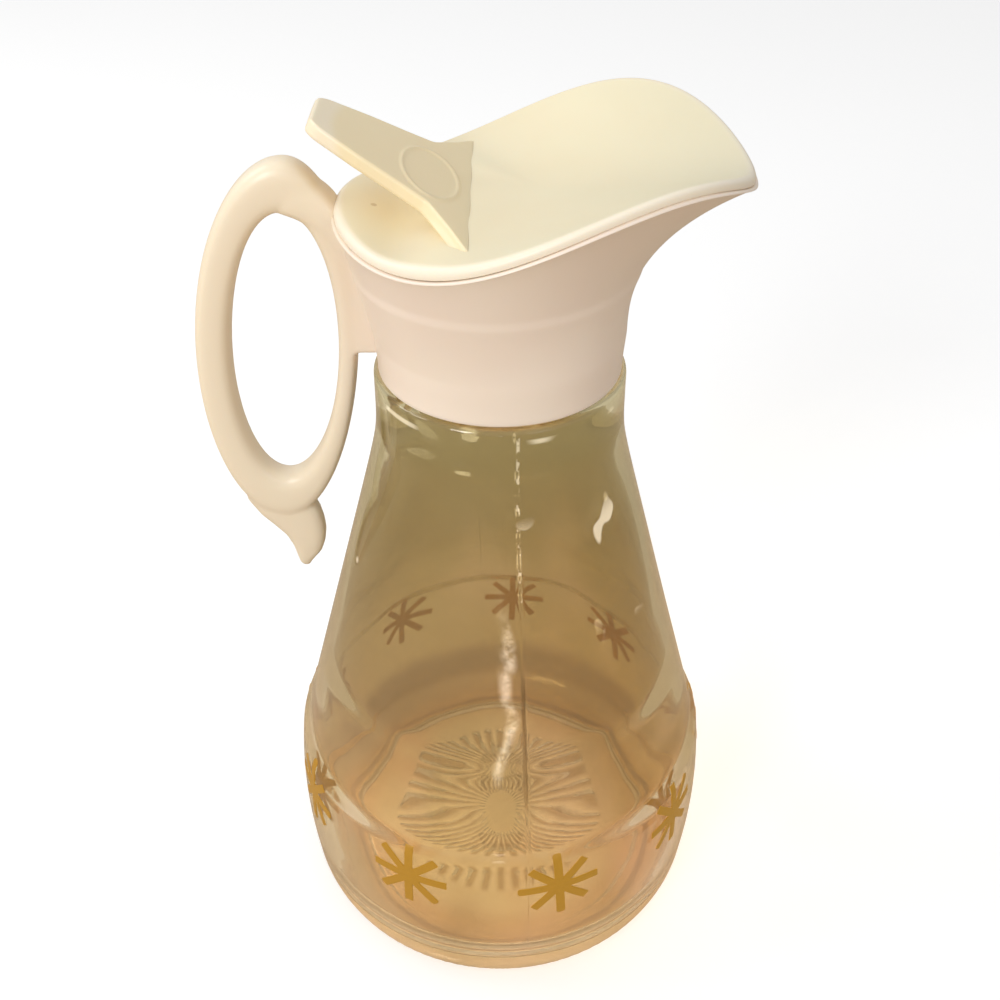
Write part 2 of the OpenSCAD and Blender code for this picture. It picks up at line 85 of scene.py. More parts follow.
camera = make_camera()
bpy.context.scene.view_settings.view_transform = "Standard"
print("camera at", tuple(camera.location))

# %% [markdown]
# ## Small helpers for curves and skins
# Moulded things are smooth, so most shapes here are a formula on a grid: one row of points for
# each step of a profile, one column for each step round. A few helpers turn such a grid into a
# closed mesh. They work on whole arrays, so a skin of a hundred thousand faces takes no time.

# %% Curve helpers
def smooth(a, b, x):
    """Zero below a, one above b, and between them 3t^2 - 2t^3 of the way t."""
    t = np.clip((x - a) / (b - a), 0, 1)
    return t * t * (3 - 2 * t)


def soft(x, k):
    """Half of x plus the root of x^2 + k^2: zero far below, x far above, round at the bend."""
    return (x + np.sqrt(x * x + k * k)) / 2


def unit(v):
    """Each vector over its own length."""
    return v / np.linalg.norm(v, axis=-1, keepdims=True)


def hump(x, width):
    """A bell of height one, e to the power of minus (x / width)^2."""
    return np.exp(-(x / width) ** 2)


def stack(*xyz):
    """Three arrays, stretched to one shape, as points."""
    return np.stack(np.broadcast_arrays(*xyz), axis=-1).astype(float)


# %% Mesh helpers
def quads(rows, cols, close_rows=False, close_cols=True, first=0):
    """The four-cornered faces of a grid of points, wound so that row by column points out."""
    r = np.arange(rows if close_rows else rows - 1)
    c = np.arange(cols if close_cols else cols - 1)
    r, c = [g.ravel() for g in np.meshgrid(r, c, indexing="ij")]
    r2, c2 = (r + 1) % rows, (c + 1) % cols
    return np.stack([r * cols + c, r * cols + c2, r2 * cols + c2, r2 * cols + c], -1) + first


def fan(cols, first, pole, flip):
    """Triangles from one ring of points to a pole."""
    a = np.arange(cols) + first
    b = (np.arange(cols) + 1) % cols + first
    p = np.full(cols, pole)
    return np.stack([b, a, p] if flip else [a, b, p], -1)


def make_mesh(name, points, faces, angle=40):
    """One object from points in millimetres, shaded smooth but for edges over the angle."""
    mesh = bpy.data.meshes.new(name)
    mesh.from_pydata(np.asarray(points) * 0.001, [], [f for group in faces for f in group.tolist()])
    mesh.validate()
    mesh.polygons.foreach_set("use_smooth", np.ones(len(mesh.polygons), bool))
    mesh.set_sharp_from_angle(angle=math.radians(angle))
    mesh.update()
    thing = bpy.data.objects.new(name, mesh)
    bpy.context.scene.collection.objects.link(thing)
    return thing


def closed_skin(grid, first=0):
    """Points and faces of a grid whose first and last rows each close to one point."""
    rows, cols = grid.shape[:2]
    points = np.concatenate([grid.reshape(-1, 3), grid[:1].mean(1), grid[-1:].mean(1)])
    n = rows * cols
    faces = [quads(rows, cols, first=first), fan(cols, first, first + n, True),
             fan(cols, first + n - cols, first + n + 1, False)]
    return points, faces


def hoop_skin(grid, first=0):
    """Points and faces of a grid that closes on itself both ways, such as a tube or a wall."""
    rows, cols = grid.shape[:2]
    return grid.reshape(-1, 3), [quads(rows, cols, close_rows=True, first=first)]


def joined(skins):
    """Several skins as the points and faces of one mesh."""
    points, faces, first = [], [], 0
    for p, f in skins:
        points.append(p)
        faces += [group + first for group in f]
        first += len(p)
    return np.concatenate(points), faces


def settle(thing):
    """Makes the result of an object's modifiers its own mesh."""
    bpy.context.view_layer.update()
    graph = bpy.context.evaluated_depsgraph_get()
    mesh = bpy.data.meshes.new_from_object(thing.evaluated_get(graph))
    thing.modifiers.clear()
    thing.data = mesh
    return thing


def cut(thing, *tools, operation="DIFFERENCE", angle=40):
    """Cuts closed tools out of a closed thing, or joins them to it."""
    for tool in tools:
        step = thing.modifiers.new("cut", "BOOLEAN")
        step.operation, step.object, step.solver = operation, tool, "EXACT"
    settle(thing)
    for tool in tools:
        bpy.data.objects.remove(tool)
    thing.data.polygons.foreach_set("use_smooth", np.ones(len(thing.data.polygons), bool))
    thing.data.set_sharp_from_angle(angle=math.radians(angle))
    return thing


def eased(thing, width):
    """Rounds a piece's sharp edges by so many millimetres."""
    edge = thing.modifiers.new("edge", "BEVEL")
    edge.width, edge.segments, edge.limit_method = width * 0.001, 2, "ANGLE"
    return settle(thing)


def report(thing):
    """Prints how many triangles a piece has."""
    corners = np.zeros(len(thing.data.polygons), int)
    thing.data.polygons.foreach_get("loop_total", corners)
    print(thing.name, "triangles:", int((corners - 2).sum()))


def rectangle(x0, z0, x1, z1):
    """The outline of a flat-sided bar."""
    return [[x0, z0], [x1, z0], [x1, z1], [x0, z1]]


def prism(outline, y0, y1):
    """A closed bar with a flat outline in x and z, from y0 to y1 across."""
    outline = np.asarray(outline, float)
    n = len(outline)
    ends = [stack(outline[:, 0], y, outline[:, 1]) for y in (y0, y1)]
    sides = quads(2, n)
    caps = [np.arange(n)[None, ::-1], np.arange(n)[None, :] + n]
    points = np.concatenate(ends)
    area = np.sum(outline[:, 0] * np.roll(outline[:, 1], -1)
                  - np.roll(outline[:, 0], -1) * outline[:, 1])
    groups = [sides, *caps]
    return points, [g[:, ::-1] if area > 0 else g for g in groups]


print("helpers ready")

# %% [markdown]
# ## Shader maths
# A finish is written as a sum of patterns. One small class wraps a node's output, so that
# 1 - mask or noise * 0.2 adds the Math nodes by itself, and one method adds any other node.

# %% Shader helpers
class Value:
    """A node's output that can be added, subtracted, multiplied, divided and raised."""

    def __init__(self, finish, socket):
        self.finish, self.socket = finish, socket

    def maths(self, operation, *others):
        """This value and then the others, through one Math node."""
        return self.finish.maths(operation, self, *others)

    def __add__(self, other): return self.maths("ADD", other)
    def __radd__(self, other): return self.finish.maths("ADD", other, self)
    def __sub__(self, other): return self.maths("SUBTRACT", other)
    def __rsub__(self, other): return self.finish.maths("SUBTRACT", other, self)
    def __mul__(self, other): return self.maths("MULTIPLY", other)
    def __rmul__(self, other): return self.finish.maths("MULTIPLY", other, self)
    def __truediv__(self, other): return self.maths("DIVIDE", other)
    def __rtruediv__(self, other): return self.finish.maths("DIVIDE", other, self)
    def __pow__(self, other): return self.maths("POWER", other)
    def __abs__(self): return self.maths("ABSOLUTE")

    def step(self, low, high):
        """Zero below low, one above high, smooth between."""
        return self.finish.add("MapRange", {"interpolation_type": "SMOOTHSTEP"},
                               {"Value": self, "From Min": low, "From Max": high})


class Finish:
    """The nodes of one material, or of the world, built up one by one."""

    def __init__(self, name, owner=None):
        self.owner = owner or bpy.data.materials.new(name)
        self.owner.use_nodes = True
        self.tree = self.owner.node_tree
        self.tree.nodes.clear()
        self.place = self.add("TexCoord", out="Object")

    def add(self, kind, settings=None, inputs=None, out=0):
        """Adds a node: its type, its settings, and the values or links of its sockets."""
        node = self.tree.nodes.new("ShaderNode" + kind)
        for key, value in (settings or {}).items():
            if key == "stops":
                ramp = node.color_ramp.elements
                while len(ramp) < len(value):
                    ramp.new(0.5)
                for element, (place, shade) in zip(ramp, value):
                    element.position, element.color = place, shade
            else:
                setattr(node, key, value)
        for key, value in (inputs or {}).items():
            if isinstance(value, Value):
                self.tree.links.new(value.socket, node.inputs[key])
            else:
                node.inputs[key].default_value = value
        return Value(self, node.outputs[out])

    def maths(self, operation, *parts):
        """A Math node with its parts in order."""
        return self.add("Math", {"operation": operation}, dict(enumerate(parts)))

    def axes(self):
        """The place on the object as x, y and z in millimetres."""
        return [self.add("SeparateXYZ", {}, {0: self.place}, out=axis) * 1000 for axis in "XYZ"]

    def stretched(self, scale, turn=(0, 0, 0)):
        """The place on the object, turned and scaled, for patterns that run one way."""
        return self.add("Mapping", {}, {"Vector": self.place, "Rotation": turn, "Scale": scale},
                        out="Vector")

    def noise(self, scale, detail=3, roughness=0.5, place=None):
        """Cloudy noise between zero and one, so many features to the metre."""
        return self.add("TexNoise", {}, {"Vector": place or self.place, "Scale": scale,
                                         "Detail": detail, "Roughness": roughness}, out="Fac")

    def mix(self, share, first, second):
        """One colour where share is zero, the other where it is one."""
        return self.add("Mix", {"data_type": "RGBA"}, {0: share, 6: first, 7: second}, out=2)

    def ramp(self, share, stops):
        """Colours at places along zero to one, blended between."""
        return self.add("ValToRGB", {"stops": stops}, {"Fac": share}, out="Color")

    def relief(self, height, depth, strength=1.0):
        """A bump of so many millimetres."""
        return self.add("Bump", {}, {"Height": height, "Distance": depth * 0.001,
                                     "Strength": strength}, out="Normal")

    def surface(self, **inputs):
        """Ends the material in one shader. Underscores in the names stand for spaces."""
        named = {key.replace("_", " "): value for key, value in inputs.items()}
        return self.end(self.add("BsdfPrincipled", {}, named, out="BSDF"))

    def end(self, shader, output="OutputMaterial"):
        """Links the last shader to the output."""
        last = self.tree.nodes.new("ShaderNode" + output)
        self.tree.links.new(shader.socket, last.inputs["Surface"])
        return self


def colour(red, green, blue):
    """A colour as seen on a screen, 0 to 255, as the light it stands for."""
    c = np.array([red, green, blue]) / 255
    light = np.where(c <= 0.04045, c / 12.92, ((c + 0.055) / 1.055) ** 2.4)
    return tuple(float(v) for v in light) + (1.0,)


def dress(thing, finish):
    """Gives a piece one finish."""
    thing.data.materials.clear()
    thing.data.materials.append(finish.owner)
    return thing


print("shader helpers ready")

# %% [markdown]
# ## The glass bottle
# It is pressed and blown glass: a pear-shaped bulb, a small soft shoulder, a cone and a short
# neck whose threaded mouth sits inside the cap. One closed profile, outside and inside, is
# turned round the axis. Two seams, the thread, the sunburst pressed into the base and the slight
# waviness that glass gets as it cools are added to that turned skin as small moves.

# %% Bottle profile
BULB_R, BULB_Z, BULB_CURVE = 45.2, 24.0, 128.0
BAND_TOP, STEP = 40.4, 4.4
FOOT_OUT, FOOT_IN, HEEL = 38.2, 34.8, 9.0
CONE_R, CONE_SLOPE, NECK_R, NECK_BLEND = 42.3, 0.27, 22.6, 1.2
LEDGE_Z, FINISH_R, FINISH_H, MOUTH_R = 130.6, 18.7, 16.4, 15.4
GLASS_WALL, BULB_WALL, WAVE_Z = 2.7, 3.4, 62.0
FLOOR_Z, FLOOR_CORNER, PUSH_UP = 6.4, 9.0, 3.2
CONE_Z, FINISH_TOP = BAND_TOP + STEP, LEDGE_Z + FINISH_H
UNDER_ROWS, HEEL_ROWS = 33, 14


def band(z):
    """The bulb's barrel: its widest radius less (z - height)^2 over twice the curve."""
    return BULB_R - (z - BULB_Z) ** 2 / (2 * BULB_CURVE)


def cone(z):
    """A straight taper that bends softly into the neck's own radius."""
    return NECK_R + soft(CONE_R - CONE_SLOPE * (z - CONE_Z) - NECK_R, NECK_BLEND)


def glass_out(z):
    """The barrel below the shoulder, the cone above it, and a smooth share of both between."""
    s = smooth(BAND_TOP, CONE_Z, z)
    return band(np.minimum(z, CONE_Z)) * (1 - s) + cone(z) * s


def glass_in(z):
    """The outside less the wall, with a softer shoulder, narrowing into the mouth."""
    s = smooth(BAND_TOP - 5, CONE_Z + 6, z)
    wall = BULB_WALL + (GLASS_WALL - BULB_WALL) * smooth(WAVE_Z - 4, WAVE_Z + 4, z)
    body = band(np.minimum(z, CONE_Z + 6)) * (1 - s) + cone(z) * s - wall
    m = smooth(LEDGE_Z - 12, LEDGE_Z - 1, z)
    return body * (1 - m) + MOUTH_R * m


def bottle_profile():
    """Radius and height from the middle of the underside, up outside, over the mouth and down
    inside to the middle of the floor."""
    under_r = np.concatenate([np.linspace(1.2, 24.5, 26), [27, 30, 32.5, 33.8, 34.3, 34.7]])
    under_z = np.interp(under_r, [0, 24, 32.8, 34.3, FOOT_IN], [PUSH_UP, 2.7, 2.2, 0.5, 0.0])
    a = np.radians(np.linspace(0, 86, HEEL_ROWS))
    heel = np.stack([FOOT_OUT + (band(HEEL) - FOOT_OUT) * np.sin(a), HEEL * (1 - np.cos(a))], 1)
    z = np.concatenate([np.linspace(HEEL, BAND_TOP, 20), np.linspace(BAND_TOP, CONE_Z, 9)[1:],
                        np.linspace(CONE_Z, LEDGE_Z - 1, 56)[1:]])
    wall = np.stack([glass_out(z), z], 1)
    a = np.radians(np.linspace(15, 90, 6))
    ledge = np.stack([cone(LEDGE_Z - 1.0) - 1 + np.cos(a), LEDGE_Z - 1 + np.sin(a)], 1)
    z = np.linspace(LEDGE_Z + 0.05, FINISH_TOP - 1.2, 34)
    finish = np.stack([np.full_like(z, FINISH_R) + 0.6 * hump(z - LEDGE_Z, 0.5), z], 1)
    a = np.radians(np.linspace(15, 90, 6))
    lip = np.stack([FINISH_R - 1.2 + 1.2 * np.cos(a), FINISH_TOP - 1.2 + 1.2 * np.sin(a)], 1)
    mouth = [[MOUTH_R + 0.6, FINISH_TOP], [MOUTH_R + 0.17, FINISH_TOP - 0.17],
             [MOUTH_R, FINISH_TOP - 0.6], [MOUTH_R, FINISH_TOP - 7]]
    z = np.concatenate([np.linspace(LEDGE_Z - 1, LEDGE_Z - 12, 10),
                        np.linspace(LEDGE_Z - 14, WAVE_Z + 7, 20),
                        np.linspace(WAVE_Z + 6, WAVE_Z - 6, 13),
                        np.linspace(WAVE_Z - 8, FLOOR_Z + FLOOR_CORNER + 0.4, 26)])
    inner = np.stack([glass_in(z), z], 1)
    corner_z = FLOOR_Z + FLOOR_CORNER
    corner_r = glass_in(corner_z) - FLOOR_CORNER
    a = np.radians(np.linspace(4, 90, 14))
    corner = np.stack([corner_r + FLOOR_CORNER * np.cos(a), corner_z - FLOOR_CORNER * np.sin(a)], 1)
    r = np.linspace(corner_r - 1.5, 1.2, 18)
    floor = np.stack([r, FLOOR_Z + 0.8 * (1 - (r / corner_r) ** 2)], 1)
    under = np.stack([under_r, under_z], 1)
    return np.concatenate([under, [[36.4, -0.0]], heel, wall, ledge, finish, lip, mouth, inner,
                           corner, floor])


profile = bottle_profile()
print("bottle profile points:", len(profile))

# %% Turn the profile and add the pressed details
SUN_RAYS, SUN_R, SUN_HUB, SUN_DEPTH = 40, 24.0, 3.5, 0.9
THREAD_PITCH, THREAD_TURNS, SEAMS = 4.0, 1.25, (277.6, 97.6)


def bottle_grid(cols=320):
    """The profile at each azimuth, with V-shaped rays in the base, a ridge for each mould seam,
    the helical thread, the stippled foot, and slow waves, strong inside and faint outside. Extra
    columns follow the seams."""
    beside = np.array([-0.7, -0.42, -0.22, -0.08, 0.08, 0.22, 0.42, 0.7])
    azimuth = np.concatenate([np.linspace(0, 360, cols, endpoint=False)]
                             + [seam + beside for seam in SEAMS])
    azimuth = np.radians(np.unique(azimuth))[None, :]
    r, z = profile[:, :1], profile[:, 1:]
    row = np.arange(len(profile))[:, None]
    top = int(np.argmax(profile[:, 1]))
    outside = (row <= top) & (z > 1)
    inside = row > top
    under = (row < UNDER_ROWS) & (r < 33)
    deg = np.degrees(azimuth)
    rays = abs(((SUN_RAYS * azimuth / (2 * np.pi)) % 1) * 2 - 1)
    reach = smooth(SUN_HUB, SUN_HUB + 3, r) * (1 - smooth(SUN_R - 1.6, SUN_R - 0.3, r))
    up = np.where(under, SUN_DEPTH * reach * rays, 0)
    waves = (0.10 * np.sin(3 * azimuth + z / 17) + 0.07 * np.sin(5 * azimuth - z / 9)
             + 0.06 * np.sin(2 * azimuth + z / 6.5) + 0.05 * np.sin(9 * azimuth + z / 23))
    calm = smooth(9, 22, z) * (1 - smooth(118, 128, z))
    r2 = r + np.where(inside, waves * calm, 0) + np.where(outside, (waves * 0.15 - 0.05) * calm, 0)
    for seam in SEAMS:
        away = (deg - seam + 180) % 360 - 180
        beads = 0.75 + 0.25 * np.sin(z * 2.1) * np.sin(z * 0.37)
        ends = smooth(3, 8, z) * (1 - smooth(126, 130, z))
        ridge = 0.17 * beads * hump(np.radians(away) * r, 0.2) * ends
        r2 = r2 + np.where(outside, ridge, 0)
    for along in (deg / 360, deg / 360 + 1):
        height = LEDGE_Z + 5.2 + THREAD_PITCH * along
        ends = smooth(0, 0.04, along) * (1 - smooth(THREAD_TURNS - 0.04, THREAD_TURNS, along))
        thread = 0.95 * ends * hump(z - height, 0.95) * (z > LEDGE_Z + 1.5)
        r2 = r2 + np.where(outside & (r < FINISH_R + 0.3), thread, 0)
    stipple = 0.10 * np.sin(110 * azimuth) * np.sin(row * 2.1)
    heel = (z > 0.1) & (z < 4) & (row > UNDER_ROWS) & (row <= UNDER_ROWS + HEEL_ROWS)
    r2 = r2 + np.where(heel, stipple, 0)
    return stack(r2 * np.cos(azimuth), r2 * np.sin(azimuth), z + up)


bottle = make_mesh("glass_body", *closed_skin(bottle_grid()), angle=60)
report(bottle)

# %% [markdown]
# ## The colour of the glass
# The glass is clear and takes its colour from what stands round it, olive above and pinkish tan
# below. The scene is white, so the finish carries that tint, and light that crosses two walls
# takes it twice. Glints that would need lamps of their own are drawn as a faint glow. A ray that
# is trapped in the glass runs out of bounces and would come back black, so it ends in a warm
# glow, and rays that only ask for shadow pass a clear tint.

# %% Glass tint
def glass_tint(f, x, y, z):
    """The colour by height. The thin middle of the floor is paler and the right side greener. Slow
    clouds are pinker, as painted reflections, or darker, and the far corner carries painted shade."""
    drift = f.noise(26, 2) * 30 - 15
    tint = f.ramp((z + drift) / 130,
                  [(0.0, colour(234, 209, 174)), (0.28, colour(225, 203, 160)),
                   (0.52, colour(194, 175, 137)), (0.8, colour(190, 174, 130)),
                   (1.0, colour(204, 192, 152))])
    plan = x * x + y * y
    middle = (1 - plan.step(700, 1150)) * (1 - z.step(9, 14))
    tint = f.mix(middle, tint, colour(250, 243, 226))
    right = (x + y * 0.3).step(5, 42) * (1 - z.step(60, 95))
    tint = f.mix(right * 0.8, tint, colour(206, 182, 132))
    reflection_and_tone_clouds = f.noise(38, 2, 0.4, place=f.stretched((1, 1, 0.5)))
    # pinker clouds low on the bulb are painted reflections; the next mix makes other clouds darker
    tint = f.mix(reflection_and_tone_clouds.step(0.5, 0.72) * (1 - z.step(50, 90)) * 0.55, tint, colour(250, 222, 198))
    tint = f.mix((1 - reflection_and_tone_clouds.step(0.28, 0.46)) * 0.4, tint, colour(190, 168, 122))
    # a brown band of painted shade along the far lower corner of the floor
    corner = y.step(8, 22) * (plan ** 0.5).step(29, 34) * z.step(5, 8) * (1 - z.step(15, 21))
    return f.mix(corner * 0.55, tint, colour(150, 116, 92))


def glass_marks(f, tint, x, y, z):
    """The pressed rays, by the fraction of the azimuth counted in rays, with painted shade in the
    grooves and painted highlight on the crests; a wandering streak of painted highlight; and a
    seam down the front, darker lower down and with painted highlight beads above. Also how far
    these and the painted glints near the neck glow."""
    turns = y.maths("ARCTAN2", x) * (SUN_RAYS / (2 * math.pi))
    groove = abs(turns.maths("FRACT") * 2 - 1)
    radius = (x * x + y * y) ** 0.5
    pressed = radius.step(3.5, 7) * (1 - radius.step(SUN_R - 1.5, SUN_R)) * (1 - z.step(4.2, 4.8))
    # painted shade darkens the grooves of the pressed rays
    tint = f.mix(pressed * groove.step(0.35, 0.8) * 0.9, tint, colour(168, 140, 92))
    # painted highlight lightens the crests of the rays
    crest_highlight = pressed * (1 - groove.step(0.12, 0.4))
    tint = f.mix(crest_highlight * 0.8, tint, colour(255, 252, 244))
    front, beads = 1 - y.step(-12, -6), f.noise(420, 2, 0.6)
    # a painted highlight: a light streak that wanders down the front of the cone and glows a little
    wander = abs(x + f.noise(70, 2) * 7 - 4.4)
    highlight_streak = (front * (1 - wander.step(0.1, 1.5)) * z.step(58, 62) * (1 - z.step(84, 100))
              * beads.step(0.3, 0.6))
    tint = f.mix(highlight_streak * 0.8, tint, colour(255, 250, 240))
    # the seam down the front: painted highlight beads high up and a darker line lower down
    seam = front * (1 - abs(x + y * 0.133).step(0.12, 0.42))
    seam_highlight_beads = seam * z.step(92, 100) * beads.step(0.5, 0.6)
    tint = f.mix(seam_highlight_beads, tint, colour(255, 250, 235))
    tint = f.mix(seam * z.step(50, 56) * (1 - z.step(78, 84)) * 0.6, tint, colour(120, 92, 50))
    # painted glints: a broken bright line just under the collar and sparkles on the front of the
    # cone
    neck = (1 - abs(z - 128.3).step(0.2, 0.7)) * f.noise(110, 1, 0.3).step(0.5, 0.6)
    sparkle_glints = f.noise(150, 1, 0.4).step(0.69, 0.73) * z.step(84, 90) * (1 - z.step(108, 114))
    glints = (1 - y.step(-10, -2)) * (neck + sparkle_glints)
    return tint, crest_highlight * 0.15 + highlight_streak * 0.3 + seam_highlight_beads * 0.5 + glints


# %% Glass finish
def glass_finish():
    """Slightly uneven glass. A ray that has bounced too often counts as trapped."""
    f = Finish("tinted_glass")
    x, y, z = f.axes()
    tint, glow = glass_marks(f, glass_tint(f, x, y, z), x, y, z)
    # the painted highlights and glints from glass_marks glow faintly through the emission
    glass = f.add("BsdfPrincipled", {}, {
        "Base Color": tint, "Roughness": 0.03, "IOR": 1.48, "Transmission Weight": 0.93,
        "Normal": f.relief(f.noise(42, 1, 0.3), 0.38),
        "Emission Color": f.mix(glow, (0, 0, 0, 1), (1.0, 0.9, 0.72, 1)),
        "Emission Strength": 0.5}, out="BSDF")
    shadow, bounces, crossings = (f.add("LightPath", out=name) for name in
                                  ("Is Shadow Ray", "Glossy Depth", "Ray Depth"))
    lost = bounces.step(1.5, 3.0).maths("MAXIMUM", crossings.step(7.5, 9.0))
    warm = f.add("Emission", {}, {"Color": (0.66, 0.54, 0.36, 1)}, out="Emission")
    glass = f.add("MixShader", {}, {0: lost, 1: glass, 2: warm})
    clear = f.add("BsdfTransparent", {}, {"Color": (0.96, 0.93, 0.87, 1)}, out="BSDF")
    return f.end(f.add("MixShader", {}, {0: shadow, 1: glass, 2: clear}))


dress(bottle, glass_finish())
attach(bottle, "bottle")
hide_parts("glass_bottle")
print("glass dressed")

# %% [markdown]
# ## The gold stars
# Nine eight-rayed stars are printed on the bulb and fired. Each is a thin skin of enamel that
# follows the glass. In polar form the outline of such a star is simple: in any direction it
# reaches as far as the bar that goes furthest there.

# %% Enamel stars
STAR_Z, STAR_L, STAR_W, STAR_T = 34.4, 8.3, 1.85, 0.12
FIRST_STAR, STAR_STEP, STAR_TURNS = -114.5, 40, (0, 3, -2, 2, -3, 1, 4, -1, 2)


def star_skin(azimuth, turn):
    """A closed skin on the glass. For each direction, a bar of length L and half-width w at
    angle d away reaches the lesser of L / cos d and w / sin d, and the star the most of all."""
    corner = math.degrees(math.atan(STAR_W / 2 / STAR_L))
    part = np.array([-22.5, -17, -12, -8.5, -corner, -corner / 2, 0,
                     corner / 2, corner, 8.5, 12, 17])
    ray = np.arange(8) * 45
    angle = np.radians((ray[:, None] + part[None, :]).ravel())
    wobble = 1 + 0.05 * np.sin(ray * 2.3 + turn)
    away = np.abs((angle[:, None] - np.radians(ray)[None, :] + np.pi) % (2 * np.pi) - np.pi)
    side = STAR_W / 2 / np.maximum(np.sin(np.minimum(away, np.pi / 2)), 1e-6)
    tip = STAR_L * wobble[None, :] / np.maximum(np.cos(away), 0.05)
    reach = np.where(away < np.pi / 2, np.minimum(side, tip), 0).max(1)
    share = np.array([0.05, 0.35, 0.65, 0.9, 0.985, 1.0, 1.0, 0.985, 0.5, 0.05])[:, None]
    lift = np.array([1, 1, 1, 1, 0.85, 0.5, -0.3, -0.4, -0.4, -0.4])[:, None] * STAR_T
    across = share * reach * np.cos(angle + math.radians(turn))
    high = STAR_Z + share * reach * np.sin(angle + math.radians(turn))
    r = glass_out(high) + lift
    a = math.radians(azimuth) + across / glass_out(STAR_Z)
    return closed_skin(stack(r * np.cos(a), r * np.sin(a), high)[::-1])


stars = [star_skin(FIRST_STAR + STAR_STEP * k, turn) for k, turn in enumerate(STAR_TURNS)]
enamel = make_mesh("enamel_stars", *joined(stars), angle=50)
report(enamel)


def enamel_finish():
    """Gold enamel, finely mottled, with a faint painted glow of its own so that it stays gold where
    little light reaches it.
    """
    f = Finish("gold_enamel")
    mottle = f.noise(900, 3)
    base = f.mix(mottle, colour(146, 102, 26), colour(164, 118, 34))
    return f.surface(Base_Color=base, Roughness=0.3 + mottle * 0.2, Specular_IOR_Level=0.5,
                     Emission_Color=colour(206, 156, 34), Emission_Strength=0.25,
                     Normal=f.relief(f.noise(2500, 2), 0.03))


dress(enamel, enamel_finish())
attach(enamel, "bottle")

# %% [markdown]
# ## The rim, the funnel and the cap
# The cap is one ivory moulding. Its collar is round, its rim is an oval whose height swings
# like a saddle, and the funnel between them flares late under the spout and early at the back.
# Two formulas give the rim, so the lid can be drawn to match.

# %% Rim and funnel formulas
RIM_CX, RIM_A, RIM_B, RIM_Z = 6.8, 34.5, 30.1, 166.7
RIM_TILT, RIM_SAG, RIM_WAVE, RIM_RIPPLE = 6.0, 1.4, 2.9, 0.3
FLARE_BACK, FLARE_SPOUT, CAP_WALL, LIP_W = 1.1, 1.7, 1.9, 2.2
LID_EDGE, LID_GAP, LID_INSET, LID_T = 2.0, 0.3, 0.5, 2.2
COLLAR_Z, COLLAR_R, BORE_R = 130.9, 21.85, 20.0
SHELF_Z, SHELF_T, POUR_R = 148.3, 1.8, 12.5
FUNNEL_R, FUNNEL_Z = 22.0, 138.4
STEP_OUT, STEP_LOW, STEP_TOP = 0.011, 150.2, 152.4
HINGE_X, HINGE_Z = -24.0, 158.9


def rim_xy(a, inset):
    """The rim's oval in plan, a distance in from its edge."""
    return RIM_CX + (RIM_A - inset) * np.cos(a), (RIM_B - inset) * np.sin(a)


def rim_top(a):
    """The rim's height: a tilt towards the spout, a sag at both ends, a wave and a ripple."""
    return (RIM_Z + RIM_TILT * np.cos(a) - RIM_SAG * np.cos(2 * a) - RIM_WAVE * np.cos(3 * a)
            - RIM_RIPPLE * np.cos(4 * a))


def lip_z(a):
    """The top of the funnel's own lip, under the edge of the lid."""
    return rim_top(a) - LID_EDGE - LID_GAP


def funnel(a, t):
    """From the collar's circle at t = 0 to the rim at t = 1. The plan moves over by a share
    0.93 t^flare + 0.07 t^9, where the flare is 1.1 at the back and 2.8 under the spout."""
    flare = FLARE_BACK + FLARE_SPOUT * ((1 + np.cos(a)) / 2) ** 2
    t0 = np.maximum(t, 0)
    share = 0.93 * t0 ** flare + 0.07 * t0 ** 9
    x, y = rim_xy(a, 0)
    low_x, low_y = FUNNEL_R * np.cos(a), FUNNEL_R * np.sin(a)
    return stack(low_x + (x - low_x) * share, low_y + (y - low_y) * share,
                 FUNNEL_Z + (lip_z(a) - FUNNEL_Z) * t)


def funnel_in(a, t, wall=CAP_WALL):
    """The funnel moved inwards by the wall, square to its surface."""
    du = funnel(a + 0.01, t) - funnel(a - 0.01, t)
    dt = funnel(a, t + 0.01) - funnel(a, t - 0.01)
    return funnel(a, t) - wall * unit(np.cross(du, dt))


